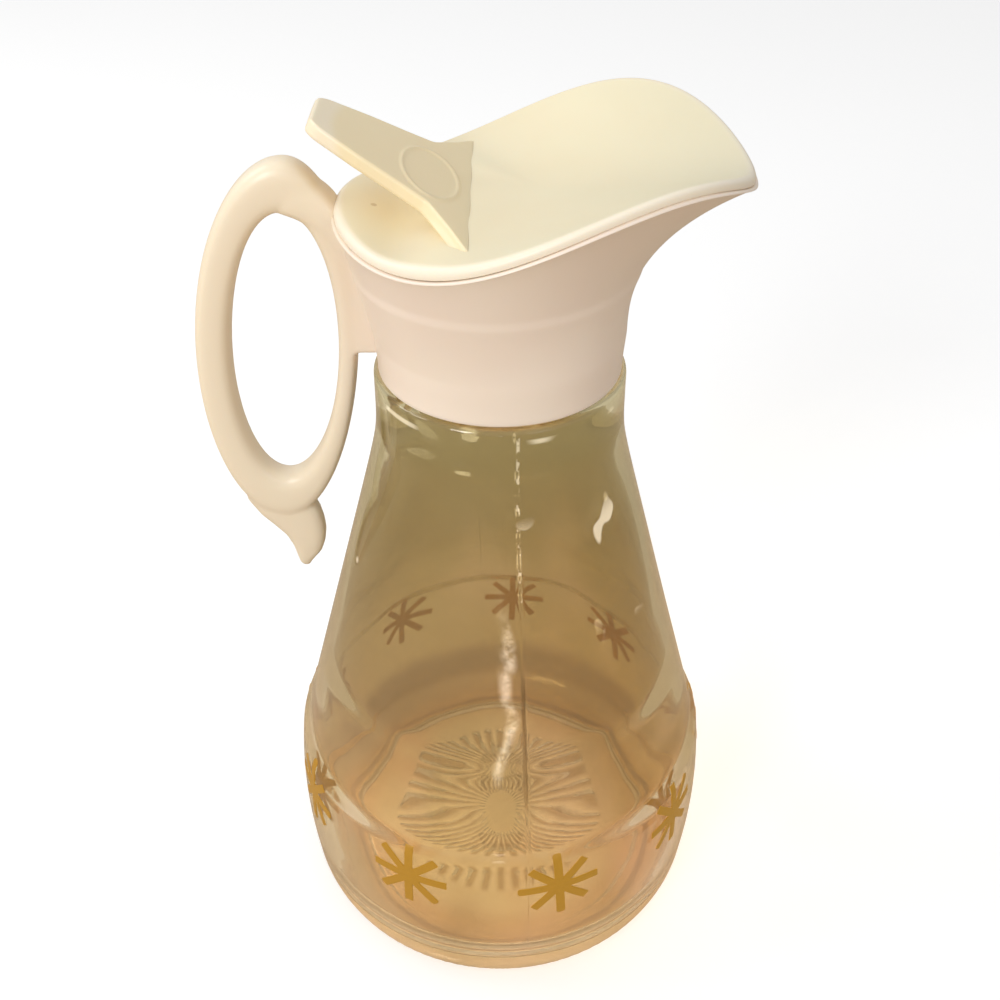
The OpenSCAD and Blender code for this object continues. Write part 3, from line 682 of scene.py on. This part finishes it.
# %% Cap shell
def cap_shell(cols=240):
    """One closed wall with rounded corners: collar, funnel, lip, inner funnel, shelf with the
    pouring hole, and threaded bore. Below a soft step it stands out by a share of its radius."""
    a = np.linspace(0, 2 * np.pi, cols, endpoint=False)
    rows = []

    def lay(x, y, z):
        rows.append(stack(x, y, z))

    def ring(r, z):
        lay(r * np.cos(a), r * np.sin(a), z)

    for b in np.radians([0, 22, 45, 68, 90]):
        ring(COLLAR_R - 0.5 + 0.5 * np.sin(b), COLLAR_Z + 0.5 - 0.5 * np.cos(b))
    growth = FUNNEL_R * (1 + STEP_OUT) - COLLAR_R
    for k in np.linspace(0, 1, 11):
        ring(COLLAR_R + growth * smooth(0, 1.3, k) / smooth(0, 1.3, 1.0),
             COLLAR_Z + 1.2 + (FUNNEL_Z - COLLAR_Z - 1.2) * k)
    for t in np.concatenate([np.linspace(0.02, 0.9, 80), np.linspace(0.91, 0.985, 8)]):
        wall = funnel(a, np.full_like(a, t))
        proud = 1 + STEP_OUT * (1 - smooth(STEP_LOW, STEP_TOP, wall[:, 2]))
        rows.append(wall * stack(proud, proud, 1 + 0 * proud))
    for b in np.radians([0, 25, 50, 75, 90]):
        x, y = rim_xy(a, 0.35 * (1 - np.cos(b)))
        lay(x, y, lip_z(a) + 0.17 - 0.35 * (1 - np.sin(b)))
    for w, lift in ((0.8, 0.17), (1.3, 0.1), (1.6, 0), (LIP_W - 0.3, 0)):
        x, y = rim_xy(a, w)
        lay(x, y, lip_z(a) + lift)
    lay(*rim_xy(a, LIP_W), lip_z(a) - 0.3)
    start = (SHELF_Z + SHELF_T + 0.8 - FUNNEL_Z) / (lip_z(a) - FUNNEL_Z)
    for k in np.linspace(1, 0, 30):
        rows.append(funnel_in(a, start + (0.93 - start) * k))
    low = funnel_in(a, start)
    for k in (0.5, 1.0):
        share = 1 - 0.02 * k
        lay(low[:, 0] * share, low[:, 1] * share, SHELF_Z + SHELF_T + 0.48 * (1 - k) ** 2)
    for b in np.radians([90, 45, 0, -45, -90]):
        ring(POUR_R + 0.4 - 0.4 * np.cos(b) if b else POUR_R, SHELF_Z + SHELF_T / 2
             + (SHELF_T / 2 - 0.4 + 0.4 * abs(np.sin(b))) * np.sign(b))
    ring(BORE_R - 0.4, SHELF_Z)
    ring(BORE_R, SHELF_Z - 0.4)
    for z in np.linspace(SHELF_Z - 1.5, COLLAR_Z + 0.9, 30):
        groove = sum(hump(z - (LEDGE_Z + 3.1 + THREAD_PITCH * (a / (2 * np.pi) + lap)), 0.8)
                     for lap in range(3))
        fade = smooth(COLLAR_Z + 1.5, COLLAR_Z + 3, z) * (1 - smooth(SHELF_Z - 4, SHELF_Z - 2, z))
        ring(BORE_R - 0.25 * groove * fade, z)
    ring(BORE_R + 0.1, COLLAR_Z + 0.3)
    ring(BORE_R + 0.4, COLLAR_Z)
    return np.array(rows)


def bar(radius, y0, y1, sides=48):
    """A round bar along the hinge's axis, rounded a little at its ends."""
    b = np.linspace(0, 2 * np.pi, sides, endpoint=False)[None, :]
    soft_r = np.array([radius - 0.12, radius, radius, radius - 0.12])[:, None]
    y = np.array([y0, y0 + 0.12, y1 - 0.12, y1])[:, None]
    return closed_skin(stack(HINGE_X + soft_r * np.sin(b), y, HINGE_Z + soft_r * np.cos(b)))


def back_room():
    """The room where the lid's back edge swings: at each place y along the hinge, an outline
    whose radius about the pin is that of the edge there and a quarter of a millimetre."""
    swing = np.radians(np.linspace(192, 138, 19))
    arc = np.stack([np.cos(swing), np.sin(swing)], 1)
    outline = np.concatenate([[[0.12, 0.14], [-0.8, -0.21]], arc, [[-0.743, 2.9], [0.12, 2.9]]])
    y = np.linspace(-13.5, 13.5, 37)
    a = np.pi - np.arcsin(y / (RIM_B - LID_INSET))
    edge_x = RIM_CX + (RIM_A - LID_INSET) * np.cos(a)
    r = 1.65 + np.hypot(np.minimum(edge_x + 1.4 - HINGE_X, 0), rim_top(a) - 1.4 - HINGE_Z)
    grid = stack(HINGE_X + r[:, None] * outline[:, 0], y[:, None] + 0 * outline[:, 0],
                 HINGE_Z + r[:, None] * outline[:, 1])
    return make_mesh("back_room", *closed_skin(grid[::-1]))


def hinge_room():
    """What the cap gives up to the lid's edge and to its knuckles."""
    return back_room(), make_mesh("knuckle_room", *bar(2.25, -4.28, 4.28))


shell = make_mesh("cap_shell", *hoop_skin(cap_shell()), angle=45)
cut(shell, *hinge_room(), angle=45)
report(shell)

# %% [markdown]
# ## Bosses for the pin
# Two small bosses with webs stand inside the back of the funnel and hold the ends of the pin.

# %% Hinge bosses
def boss(side):
    """A drilled barrel on a flat web, drawn as one outline in x and z and carried across."""
    y0, y1 = sorted((side * 4.3, side * 6.8))
    b = np.radians(np.linspace(0, 180, 19))
    top = np.stack([HINGE_X + 1.5 * np.cos(b), HINGE_Z + 1.5 * np.sin(b)], 1)
    foot = [[HINGE_X - 1.5, HINGE_Z - 0.9], [HINGE_X - 0.3, HINGE_Z - 1.45],
            [HINGE_X - 0.3, HINGE_Z - 5.4], [HINGE_X + 1.4, HINGE_Z - 5.4],
            [HINGE_X + 1.4, HINGE_Z - 0.6]]
    return prism(np.concatenate([top, foot]), y0, y1)


bosses = make_mesh("hinge_bosses", *joined([boss(-1), boss(1)]), angle=30)
cut(eased(bosses, 0.15), make_mesh("drill", *bar(0.77, -9, 9)), angle=30)
report(bosses)

# %% [markdown]
# ## The handle
# The loop is one swept strip: thick outside and thin inside, with a short pointed tail below
# and an arm that runs into the back of the funnel. It is drawn as three overlapping sweeps, a
# flat web and a patch of the funnel's own wall. A fine voxel remesh makes one skin of them, and
# a little smoothing gives every join the fillet that a mould has.

# %% Handle
HOLE_X, HOLE_Z, HOLE_W, HOLE_H, LEAN = -38.3, 133.0, 9.6, 26.6, 0.09
STRIP_OUT, STRIP_IN, LOOP_TOP, LOOP_LOW, STRIP_W, WEB_W = 6.2, 3.4, 8.9, 10.0, 3.4, 2.8


def section(centre, up, half_up, half_across, points=48, squareness=0.68):
    """A rounded section for each place along a sweep: half_up along its own up direction and
    half_across along y, as cosine and sine raised to a power under one, which squares it."""
    b = np.linspace(0, 2 * np.pi, points, endpoint=False)[None, :]
    c, s = np.cos(b), np.sin(b)
    c, s = np.sign(c) * abs(c) ** squareness, np.sign(s) * abs(s) ** squareness
    h, w = np.asarray(half_up)[:, None], np.asarray(half_across)[:, None]
    x = centre[:, :1] + up[:, :1] * h * c
    z = centre[:, 1:] + up[:, 1:] * h * c
    return stack(x, w * s, z)


def loop_strip(places=168):
    """Between the finger hole's oval and the larger oval outside it."""
    a = np.linspace(0, 2 * np.pi, places, endpoint=False)
    z = HOLE_Z + HOLE_H * np.sin(a)
    hole = np.stack([HOLE_X + HOLE_W * np.cos(a) + LEAN * (z - HOLE_Z), z], 1)
    width = HOLE_W + np.where(np.cos(a) < 0, STRIP_OUT, STRIP_IN)
    height = HOLE_H + np.where(np.sin(a) > 0, LOOP_TOP, LOOP_LOW)
    z = HOLE_Z + height * np.sin(a)
    outer = np.stack([HOLE_X + width * np.cos(a) + LEAN * (z - HOLE_Z), z], 1)
    half = np.linalg.norm(outer - hole, axis=1) / 2
    across = STRIP_W - 0.4 * soft(np.cos(a), 0.3)
    return hoop_skin(section((hole + outer) / 2, unit(outer - hole), half, across))


def arm():
    """From the top of the loop into the back of the funnel, growing as it goes."""
    t = np.linspace(0, 1, 24)[:, None]
    top = np.array([HOLE_X + 4.3, HOLE_Z + HOLE_H + 2.7])
    back = np.array([HINGE_X - 0.5, HINGE_Z - 5.7])
    centre = top + (back - top) * t + np.array([0, 2.0]) * np.sin(np.pi * t)
    up = unit(np.array([0.6, 0.8]) + np.array([-0.8, 0.18]) * t)
    half = 3.6 + 2.1 * t[:, 0] - 0.8 * np.sin(np.pi * t[:, 0])
    return closed_skin(section(centre, up, half, STRIP_W + 0.3 * t[:, 0])[::-1])


def tail():
    """Below the loop, between two measured outlines, left and right: it narrows, bends forward
    and ends in a point that is cut off slantwise. It is slimmer than the loop above it."""
    left = np.array([[-49.6, 104], [-49.3, 100], [-47.2, 96.4], [-44.8, 93.7], [-42.8, 91.3],
                     [-41.6, 88.3], [-41.1, 85.8], [-40.8, 84.0], [-40.2, 83.0], [-39.5, 82.6]])
    right = np.array([[-37.4, 104], [-36.4, 100], [-35.3, 97], [-34.8, 94.2], [-34.7, 91.8],
                      [-35.1, 89.2], [-35.9, 86.9], [-37.3, 85.2], [-38.2, 83.9], [-38.7, 82.9]])
    half = np.array([2.7, 2.7, 2.7, 2.6, 2.5, 2.3, 2.0, 1.7, 1.3, 0.8])
    at, k = np.arange(10), np.linspace(0, 9, 46)
    l, r = (np.stack([np.interp(k, at, side[:, i]) for i in (0, 1)], 1) for side in (left, right))
    return closed_skin(section((l + r) / 2, unit(r - l), np.linalg.norm(r - l, axis=1) / 2,
                               np.interp(k, at, half))[::-1])


def web():
    """The flat fin between the loop and the back of the cap, one outline carried across."""
    low = COLLAR_Z + 2.8
    outline = [[-(BORE_R + 0.9), low], [-(BORE_R + 0.9), low + 12.3], [HINGE_X + 1.6, low + 17.3],
               [HINGE_X, HINGE_Z - 2.4], [HINGE_X - 7, HINGE_Z - 1.9],
               [HOLE_X + HOLE_W + 1.6, low + 12.3], [HOLE_X + HOLE_W + 1.6, low]]
    return prism(outline, -WEB_W, WEB_W)


def wall_patch():
    """Part of the back of the funnel, a hair under its surface, for the handle to grow from."""
    a = np.linspace(np.radians(140), np.radians(220), 60)
    t = np.linspace(0.02, 0.93, 40)
    a, t = np.meshgrid(a, t)
    outer, inner = funnel_in(a, t, 0.12), funnel_in(a, t, 1.5)
    return closed_skin(np.concatenate([outer, inner[:, ::-1]], axis=1))


def handle():
    """The parts grown into one skin, evened out, with room cut for the lid's edge."""
    made = make_mesh("handle", *joined([loop_strip(), arm(), tail(), web(), wall_patch()]))
    grow = made.modifiers.new("grow", "REMESH")
    grow.mode, grow.voxel_size = "VOXEL", 0.00045
    fair = made.modifiers.new("fair", "SMOOTH")
    fair.factor, fair.iterations = 0.5, 6
    settle(made)
    return cut(made, *hinge_room(), angle=50)


grip = handle()
report(grip)

# %% [markdown]
# ## Ivory plastic
# The cap and the lid are the same kind of moulding, warm and satin, with the faint clouding and
# fine scratches of a thing that is washed every day. The lid has yellowed a little more.

# %% Ivory finishes
def ivory_finish(name, light, shade, rough, edge=None):
    """Clouds between two shades and scratches in the gloss. With an edge colour it is the lid's:
    greyer towards the spout as painted shade, paler round the rolled rim as a painted highlight,
    with a small moulding dot. Without one it is the cap's, whose handle side is painted warmer, a
    painted warm light from the left."""
    f = Finish(name)
    cloud = f.noise(22, 3, 0.55)
    fine = f.noise(420, 3, 0.6)
    x, y, z = f.axes()
    base = f.mix(cloud.step(0.3, 0.72), light, shade)
    # edge is the colour of the painted highlight on the rolled rim
    if edge:
        plan = ((x - RIM_CX) / RIM_A) ** 2 + (y / RIM_B) ** 2
        # painted shade: greyer towards the spout, away from the light
        base = f.mix(x.step(4, 40) * 0.75, base, colour(230, 221, 192))
        # painted highlight: paler round the rolled rim
        base = f.mix(plan.step(0.86, 0.96) * 0.8, base, edge)
        away = ((x + 20.5) ** 2 + (y + 2.1) ** 2) ** 0.5
        dot = (1 - away.step(0.35, 0.65)) * (1 - z.step(162.5, 163))
        base = f.mix(dot * 0.5, base, colour(190, 160, 110))
    else:
        # painted light: the handle side is warmer, as under warm light from the left
        base = f.mix((-20 - x).step(0, 12), base, colour(247, 232, 206))
    slanting = f.stretched((1, 9, 1), (0.4, 0.7, 0.2))
    scratch = f.noise(700, 1, 0.4, place=slanting).step(0.66, 0.72)
    return f.surface(Base_Color=base, Roughness=rough + fine * 0.10 + scratch * 0.08,
                     Specular_IOR_Level=0.45, Subsurface_Weight=0.12,
                     Subsurface_Radius=(0.004, 0.003, 0.002), Subsurface_Scale=0.6,
                     Normal=f.relief(fine * 0.5 + scratch * 0.3, 0.03, 0.5))


cap_ivory = ivory_finish("ivory_cap", colour(250, 235, 218), colour(247, 229, 213), 0.28)
for part in (shell, bosses, grip):
    dress(part, cap_ivory)
    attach(part, "cap")
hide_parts("cap_body")

# %% [markdown]
# ## The lid
# It is a saddle: its edge is the rim's own curve, and its middle runs straight from back to
# spout with a dish behind the lever and a long shallow trough towards the spout. In polar form
# the height is the middle line plus the edge's share of the radius squared.

# %% Lid formulas
DISH, DISH_X, DISH_LEN, TROUGH, TROUGH_X, TROUGH_LEN = 2.0, -15.5, 6.0, 1.6, 8.0, 20.0
LID_ROUND, SKIRT_H, SKIRT_T = 1.4, 2.4, 1.6


def mid_z(x):
    """The height along the middle: a straight line less two bells, the dish and the trough."""
    back, front = rim_top(np.pi), rim_top(0)
    return (back + (front - back) * (x - RIM_CX + RIM_A) / (2 * RIM_A)
            - DISH * hump(x - DISH_X, DISH_LEN) - TROUGH * hump(x - TROUGH_X, TROUGH_LEN))


def lid_point(a, p, drop):
    """A share p of the way out at azimuth a: the middle's height, plus p squared of what the
    edge stands above it, less a drop."""
    x1, y1 = rim_xy(a, LID_INSET)
    x, y = RIM_CX + (x1 - RIM_CX) * p, y1 * p
    return stack(x, y, mid_z(x) + (rim_top(a) - mid_z(x1)) * p * p - drop)


def lid_height(x, y):
    """The lid's top above any place in plan, by the same rule."""
    u, v = (x - RIM_CX) / (RIM_A - LID_INSET), y / (RIM_B - LID_INSET)
    a, p = np.arctan2(v, u), np.sqrt(u * u + v * v)
    return mid_z(x) + (rim_top(a) - mid_z(rim_xy(a, LID_INSET)[0])) * p * p


def share(inset):
    """How far out a place is that lies so far in from the edge."""
    return 1 - inset / (RIM_B - LID_INSET)


def lid_skin(cols=240):
    """Top, rolled edge, skirt and underside as one closed skin."""
    a = np.linspace(0, 2 * np.pi, cols, endpoint=False)
    skirt_in = LIP_W + LID_GAP + 0.6 + 4.4 * ((1 + np.cos(a)) / 2) ** 4
    dive = rim_top(a) - lid_point(a, share(skirt_in), 0)[:, 2]
    root = np.maximum(LID_EDGE, dive + 0.6 * LID_T)
    foot = np.maximum(LID_EDGE + SKIRT_H, root + 0.25 * SKIRT_H)

    def skirt(inset, drop):
        q = lid_point(a, share(inset), 0)
        return stack(q[:, 0], q[:, 1], rim_top(a) - drop)

    rows = [lid_point(a, p, 0) for p in np.linspace(0.015, share(LID_ROUND + 0.5), 44)]
    rows += [lid_point(a, share(LID_ROUND * (1 - np.sin(b))), LID_ROUND * (1 - np.cos(b)))
             for b in np.radians(np.linspace(0, 90, 12))]
    rows += [lid_point(a, share(0.25 * (1 - np.cos(b))), LID_EDGE - 0.25 + 0.25 * np.sin(b))
             for b in np.radians([0, 30, 60, 90])]
    rows += [skirt(LIP_W + LID_GAP - LID_INSET + 0.2, LID_EDGE), skirt(skirt_in - 0.2, root),
             skirt(skirt_in, root + 0.15), skirt(skirt_in + 0.1, foot - 0.3),
             skirt(skirt_in + 0.25, foot - 0.05), skirt(skirt_in + 0.5, foot),
             skirt(skirt_in + SKIRT_T - 0.4, foot), skirt(skirt_in + SKIRT_T - 0.1, foot - 0.2)]
    inner = share(skirt_in + SKIRT_T + 0.2)
    rows += [lid_point(a, p * inner, LID_T) for p in np.linspace(1, 0.015, 36)]
    return closed_skin(np.array(rows)[::-1])


cover = make_mesh("lid_cover", *lid_skin(), angle=40)
notch = rectangle(HINGE_X - 6, HINGE_Z - 6, HINGE_X + 3, HINGE_Z + 0.3)
cut(cover, make_mesh("notch", *prism(notch, -14, 14)),
    make_mesh("pocket", *bar(1.85, -7.1, 7.1)), angle=40)
report(cover)

# %% [markdown]
# ## The thumb lever
# The lever is a flat tapering tab that rises towards the thumb. At its foot it flares to a
# straight line across the lid. It is a grid in its own slope: along it, and across it from edge
# to edge. One plain raised oval decorates it.

# %% Thumb lever
SLOPE, LEVER_X, LEVER_T, LEVER_LEN = math.radians(29.5), -4.8, 2.3, 27.9
LEVER_Z, LEVER_TIP = float(mid_z(LEVER_X)), 4.4
OVAL_U, OVAL_V, OVAL_LONG, OVAL_WIDE = 7.3, -1.4, 5.1, 8.6


def lever_half(u):
    """Half the width along the slope, through measured places with the corners eased."""
    at = [0, 3.2, 7.2, 12, 18.8, 24.9, 26, 26.9, 27.5, 27.9]
    wide = [22.4, 17.4, 12.3, 10.8, 9.0, 6.9, 6.5, 5.9, 5.2, LEVER_TIP]
    return np.interp(u, at, wide)


def on_slope(u, v, lift):
    """A place u up the slope, v across it and lift square off it."""
    return stack(LEVER_X - u * np.cos(SLOPE) + lift * np.sin(SLOPE), v,
                 LEVER_Z + u * np.sin(SLOPE) + lift * np.cos(SLOPE))


def lever_skin(along=110, across=91):
    """A top grid with the oval raised on it, and a bottom grid that runs down to the lid under
    the middle only. Both roll over at the edge with a radius of half a millimetre, and near the
    lid the sides spread."""
    u = LEVER_LEN * np.linspace(0, 1, along)[:, None]
    kernel = np.hanning(9)
    half = np.pad(lever_half(u[:, 0]), 4, mode="edge")
    half = np.convolve(half, kernel / kernel.sum(), mode="valid")[:, None]
    half[-1:] = LEVER_TIP
    s = np.linspace(-1, 1, across)[None, :]
    s = np.sign(s) * (1 - (1 - abs(s)) ** 1.25)
    v = half * s
    edge = np.minimum(half - abs(v), LEVER_LEN - u)
    roll = 0.5 - np.sqrt(np.clip(0.25 - np.clip(0.5 - edge, 0, 0.5) ** 2, 0, 1))
    ring = np.sqrt(((u - OVAL_U) / OVAL_LONG) ** 2 + ((v - OVAL_V) / OVAL_WIDE) ** 2)
    oval = 0.2 * hump((ring - 1) * 6, 0.32)
    top = on_slope(u, v, oval - roll)
    low = on_slope(u, v, -LEVER_T + roll)
    sunk = lid_height(low[..., 0], low[..., 1]) - 1.2
    foot = (1 - smooth(4.6, 11.8, u)) * (1 - smooth(5.0, 8.4, abs(v)))
    low[..., 2] = np.maximum(low[..., 2] * (1 - foot) + np.minimum(low[..., 2], sunk) * foot, sunk)

    def side(sign):
        k = np.linspace(0.12, 1, 9)[None, :, None]
        above, below = (top[:, -1:], low[:, -1:]) if sign > 0 else (top[:, :1], low[:, :1])
        out = above + (below - above) * k
        out[..., 1] += sign * 0.9 * (1 - smooth(2, 8, u)) * smooth(-0.5, 2, u) * k[..., 0] ** 2
        return out

    return closed_skin(np.concatenate([top, side(1), low[:, ::-1], side(-1)[:, ::-1]], axis=1))


lever = make_mesh("thumb_lever", *lever_skin(), angle=50)
report(lever)

# %% [markdown]
# ## Knuckles and the spring's keeper
# Under the back of the lid two knuckles take the pin, and a small hook holds the spring's leg.

# %% Knuckles and keeper
def keeper():
    """A little frame: a block with a slot through it for the wire."""
    x, z = HINGE_X + 6, HINGE_Z - 3.1
    block = prism(rectangle(x, z, x + 1.2, z + 3.5), -1.3, 1.3)
    slot = prism(rectangle(x - 1, z + 0.7, x + 2.2, z + 1.8), -0.6, 0.6)
    block = eased(make_mesh("spring_keeper", *block, angle=30), 0.18)
    return cut(block, make_mesh("slot", *slot), angle=30)


knuckles = make_mesh("lid_knuckles", *joined([bar(1.9, 2.3, 4.0), bar(1.9, -4.0, -2.3)]), angle=30)
cut(knuckles, make_mesh("bore", *bar(0.8, -5, 5)), angle=30)
hook = keeper()

# the last colour of each lid finish is the painted highlight round the rim
lid_ivory = ivory_finish("ivory_lid", colour(245, 236, 204), colour(243, 229, 194), 0.34,
                         colour(252, 240, 222))
lever_ivory = ivory_finish("ivory_lever", colour(248, 230, 190), colour(245, 226, 184), 0.34,
                           colour(250, 236, 210))
for part in (cover, lever, knuckles, hook):
    dress(part, lever_ivory if part is lever else lid_ivory)
    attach(part, "lid")
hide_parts("lid")
print("lid pieces dressed")

# %% [markdown]
# ## Steel pin, spring and the seal
# The spring is one wire: a leg down the funnel's wall, six turns round the pin, and a leg
# through the keeper. A tube is carried along that path.

# %% Return spring
WIRE_R, COIL_R, TURNS, LID_LEG, WALL_LEG = 0.25, 1.25, 6, 8.0, 5.4
COIL_PITCH = 2 * WIRE_R + 0.08
COIL_A0, COIL_A1 = math.radians(-15), math.radians(270 + 360 * (TURNS - 1))


def wire_path():
    """Leg, helix, leg: the helix climbs one pitch a turn, centred across the hinge."""
    a = np.linspace(COIL_A0, COIL_A1, TURNS * 40 + 1)
    y = COIL_PITCH * (a - COIL_A0) / (2 * np.pi) - COIL_PITCH * (COIL_A1 - COIL_A0) / (4 * np.pi)
    coil = stack(HINGE_X + COIL_R * np.cos(a), y, HINGE_Z + COIL_R * np.sin(a))
    t = np.linspace(1, 0.06, 16)[:, None]
    down = coil[:1] + WALL_LEG * t * np.array([[0.06, 0, -1]])
    t = np.linspace(0.04, 1, 22)[:, None]
    out = coil[-1:] + np.concatenate([LID_LEG * t, -coil[-1, 1] * smooth(0, 0.7, t), -0.7 * t], 1)
    return np.concatenate([down, coil, out])


def tube(path, radius, sides=12):
    """Rings square to the path, set against one fixed side direction."""
    forward = unit(np.gradient(path, axis=0))
    u = unit(np.cross(np.array([0, 1, 0.02]), forward))
    v = np.cross(forward, u)
    b = np.linspace(0, 2 * np.pi, sides, endpoint=False)[None, :, None]
    return path[:, None] + radius * (u[:, None] * np.cos(b) + v[:, None] * np.sin(b))


spring = make_mesh("spring_wire", *closed_skin(tube(wire_path(), WIRE_R)), angle=60)
report(spring)


def steel_finish(name, base, rough):
    """Bare steel with fine rings round the axis from drawing, and a few brown stains."""
    f = Finish(name)
    drawn = f.noise(1500, 3, 0.6, place=f.stretched((1, 14, 1)))
    stain = f.noise(300, 3)
    tone = f.mix(stain.step(0.45, 0.75), base, colour(120, 104, 84))
    return f.surface(Base_Color=tone, Metallic=1.0, Roughness=rough + drawn * 0.15,
                     Normal=f.relief(drawn, 0.01))


dress(spring, steel_finish("spring_steel", colour(168, 166, 160), 0.26))
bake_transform(spring)
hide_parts("return_spring")
dress(frame["nodes"]["hinge_pin"], steel_finish("pin_steel", colour(196, 194, 188), 0.2))


def seal_finish():
    """Pale closed-cell foam, each cell a small dent."""
    f = Finish("seal_foam")
    cells = f.add("TexVoronoi", {}, {"Vector": f.place, "Scale": 1800.0}, out="Distance")
    base = f.mix(cells, colour(214, 210, 200), colour(232, 229, 220))
    return f.surface(Base_Color=base, Roughness=0.75, Normal=f.relief(cells, 0.05))


dress(frame["nodes"]["neck_seal"], seal_finish())
print("metal and seal dressed")

# %% [markdown]
# ## Floor and light
# A plain white floor and a white world: glass shows what lies behind it, so both stay bright
# for rays that pass through it. Three large soft lamps give the cap its gentle shading and put
# long highlights on the glass, and a small low one lifts the front of the bulb.

# %% Stage
def floor():
    """A sheet eight metres wide, white to the camera and through glass. The light that it
    throws back on the object is warmer, as a table's would be."""
    corners = 4000.0 * np.array([[-1, -1, 0], [1, -1, 0], [1, 1, 0], [-1, 1, 0]])
    made = make_mesh("floor", corners, [np.array([[0, 1, 2, 3]])])
    f = Finish("floor_white")
    looked = f.add("LightPath", out="Is Camera Ray")
    seen = looked + f.add("LightPath", out="Is Transmission Ray")
    f.surface(Base_Color=f.mix(seen, colour(190, 170, 146), colour(252, 252, 252)),
              Roughness=0.9, Emission_Color=f.mix(looked, (0, 0, 0, 1), (1, 1, 1, 1)),
              Emission_Strength=0.2)
    dress(made, f)


def world(level=0.62):
    """White to the camera and through glass, and at a plain level for all that it lights."""
    sky = bpy.data.worlds.new("studio")
    bpy.context.scene.world = sky
    f = Finish("studio", sky)
    seen = f.add("LightPath", out="Is Camera Ray") + f.add("LightPath", out="Is Transmission Ray")
    lit, white = (f.add("Background", {}, {"Color": (1, 1, 1, 1), "Strength": strength},
                        out="Background") for strength in (level, 1.0))
    f.end(f.add("MixShader", {}, {0: seen, 1: lit, 2: white}), "OutputWorld")


def lamp(name, place, size, power, aim=(0, 0, 0.1)):
    """A round soft lamp at a place, turned towards the middle of the object."""
    light = bpy.data.lights.new(name, "AREA")
    light.shape, light.size, light.energy = "DISK", size, power
    made = bpy.data.objects.new(name, light)
    made.location = place
    made.rotation_euler = (Vector(aim) - Vector(place)).to_track_quat("-Z", "Y").to_euler()
    bpy.context.scene.collection.objects.link(made)


floor()
world()
lamp("key", (-0.5, -0.75, 0.6), 0.35, 3.9)
lamp("fill", (0.5, -0.75, 0.4), 0.4, 0.45)
lamp("back", (-0.7, 0.1, 0.75), 0.45, 2.1)
lamp("low", (-0.02, -1.1, 0.02), 0.12, 0.12)
